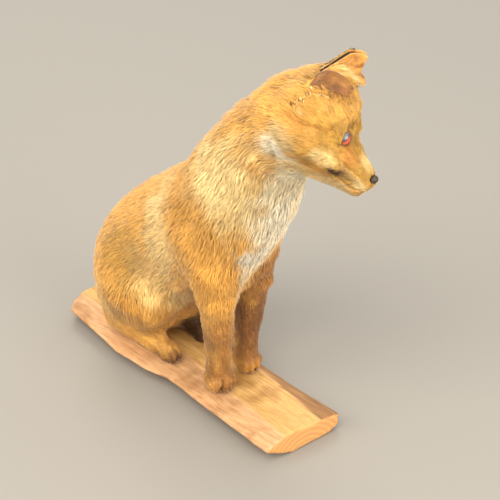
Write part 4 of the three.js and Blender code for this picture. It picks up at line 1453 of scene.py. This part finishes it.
def makeSlab():
    # split and planed log, worn so that the hard grain stands up
    bm = bmesh.new()
    bm.from_mesh(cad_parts["slab"].data)
    bmesh.ops.remove_doubles(bm, verts=bm.verts, dist=skinMake["same"])
    mesh = remeshed(meshFrom(bm, "rough_slab"), slab["voxel"])
    mesh.name = "slab_of_log"
    points = relaxed(mesh, places(mesh), slab["rounds"], 0.8)
    setPlaces(mesh, points)
    normals = cornerNormals(mesh)
    x, y, z = points.T
    crest = y - np.interp(x, *np.array(slab["crest"], float).T) - 1.5 * noise(points * [1, 0, 0], 40, 92)
    far = y - np.interp(x, *np.array(slab["farLine"], float).T)
    top = step(0.5, 0.9, normals[:, 2])
    under = foxOnSlab(points)
    stretched = points * [0.09, 1, 1]
    grain = 0.6 * noise(stretched, 3.4, 93) + 0.4 * noise(stretched, 1.7, 94)
    plank = step(-3, 3, crest) * step(3, -3, far)
    push = slab["grain"] * grain * top * (0.45 + 0.75 * plank)
    push += top * (0.9 * np.exp(-(crest / 2.5) ** 2) - 0.6 * step(-12, -1, crest) * step(0, -2, crest))
    push += top * -0.5 * np.exp(-((far + 1) / 2) ** 2)
    ends = step(0.6, 0.9, np.abs(normals[:, 0]))
    rings = np.hypot(y - 4, (z + 26) * 1.05)
    push += ends * 0.1 * np.sin(rings * 1.9 + 0.8 * noise(points, 12, 95))
    bark = step(-0.15, -0.6, normals[:, 2]) * step(0.97, 0.85, np.abs(normals[:, 2]))
    push += bark * 0.35 * noise(points * [0.2, 1, 1], 5, 96)
    push *= 1 - under
    push -= top * 0.12 * under
    points = points + normals * push[:, None]
    points[:, 2] = np.clip(points[:, 2], 0, None)
    setPlaces(mesh, points)
    for name, values in (("plank", plank), ("rise", grain), ("endGrain", ends),
                         ("farBevel", step(-2, 3, far))):
        giveValue(mesh, name, values)
    piece = newObject("slab_of_log", mesh, woodMaterial())
    unwrap(piece)
    return piece


def foxOnSlab(points):
    # 1 where the feet and the rump stand, so the wood stays level there
    rows = [(foot[:2], slab["paw"]) for foot in feet.values()] + [slab["rump"]]
    flat = points[:, :2] - foxStands[:2]
    away = np.min([np.hypot(*((flat - middle) / reach).T) for middle, reach in rows], axis=0)
    return step(1.2, 1.0, away)


def woodMaterial():
    # weathered softwood: pale gold plank with raised grain, pinkish planed side, ringed ends
    material, tree, shader, where = newMaterial("weathered_split_log", {"IOR": 1.45})
    plank, rise, ends, bevel = (addNode(tree, "ShaderNodeAttribute", {"attribute_name": name}).outputs["Fac"]
                                for name in ("plank", "rise", "endGrain", "farBevel"))
    # grain lines about 1.5 mm apart, drawn out along the log
    stretch = addNode(tree, "ShaderNodeMapping", {"Scale": (0.07, 1, 1)}, {"Vector": where})
    # rings of the ends, 3 to 4 mm apart, round the heart of the log below the slab
    centred = addNode(tree, "ShaderNodeMapping", {"Location": (0, -0.004, 0.026), "Scale": (0, 1, 1)},
                      {"Vector": where})
    ringMake = {"wave_type": "RINGS", "rings_direction": "X", "Scale": 48, "Distortion": 1.4, "Detail": 3,
                "Detail Scale": 1.2}
    fine, broad, cloud, rings = (addNode(tree, kind, settings, {"Vector": at}).outputs["Fac"]
                                 for kind, settings, at in (
        ("ShaderNodeTexNoise", {"Scale": 800, "Detail": 4, "Distortion": 0.3}, stretch.outputs["Vector"]),
        ("ShaderNodeTexNoise", {"Scale": 240, "Detail": 4, "Distortion": 0.6}, stretch.outputs["Vector"]),
        ("ShaderNodeTexNoise", {"Scale": 28, "Detail": 5}, where),
        ("ShaderNodeTexWave", ringMake, centred.outputs["Vector"]),
    ))
    # each layer: how it covers those before it, its share, what it follows and its tones
    for how, share, source, stops in (
        (None, 1, broad, [(0.3, "#bd9268"), (0.5, "#c99e72"), (0.7, "#d0a87e")]),  # the pink planed side
        ("MIX", plank, broad, [(0.3, "#c29656"), (0.45, "#cba263"), (0.6, "#d1a868"), (0.72, "#dab778")]),
        ("MIX", bevel, broad, [(0.3, "#795434"), (0.5, "#8e663c"), (0.7, "#a07848")]),
        ("MULTIPLY", 0.65, cloud, [(0.5, "#ffffff"), (0.68, "#b9a58c")]),  # grey stains
        ("MULTIPLY", 0.45, fine, [(0.36, "#b79a74"), (0.46, "#ece1d0"), (0.6, "#ffffff")]),
        ("MIX", ends, rings, [(0.1, "#bb8850"), (0.6, "#c48f55"), (1, "#ca965a")]),
    ):
        tone = addNode(tree, "ShaderNodeValToRGB", {"stops": stops}, {"Fac": source}).outputs["Color"]
        if how:
            mix = addNode(tree, "ShaderNodeMix", {"data_type": "RGBA", "blend_type": how},
                          {6: body, 7: tone})
            if isinstance(share, float):
                mix.inputs[0].default_value = share
            else:
                feed(tree, mix, {0: share})
            tone = mix.outputs[2]
        body = tone
    height = addNode(tree, "ShaderNodeMath", {"operation": "MULTIPLY_ADD", 1: 0.6}, {0: fine, 2: broad})
    relief = addNode(tree, "ShaderNodeBump", {"Strength": 0.6, "Distance": 0.0009},
                     {"Height": height.outputs["Value"]})
    worn = addNode(tree, "ShaderNodeMapRange", {"To Min": 0.62, "To Max": 0.85}, {"Value": rise})
    feed(tree, shader, {"Base Color": body, "Normal": relief.outputs["Normal"],
                        "Roughness": worn.outputs["Result"]})
    return material


fixed(makeSlab(), "slab_wood", ["slab"])
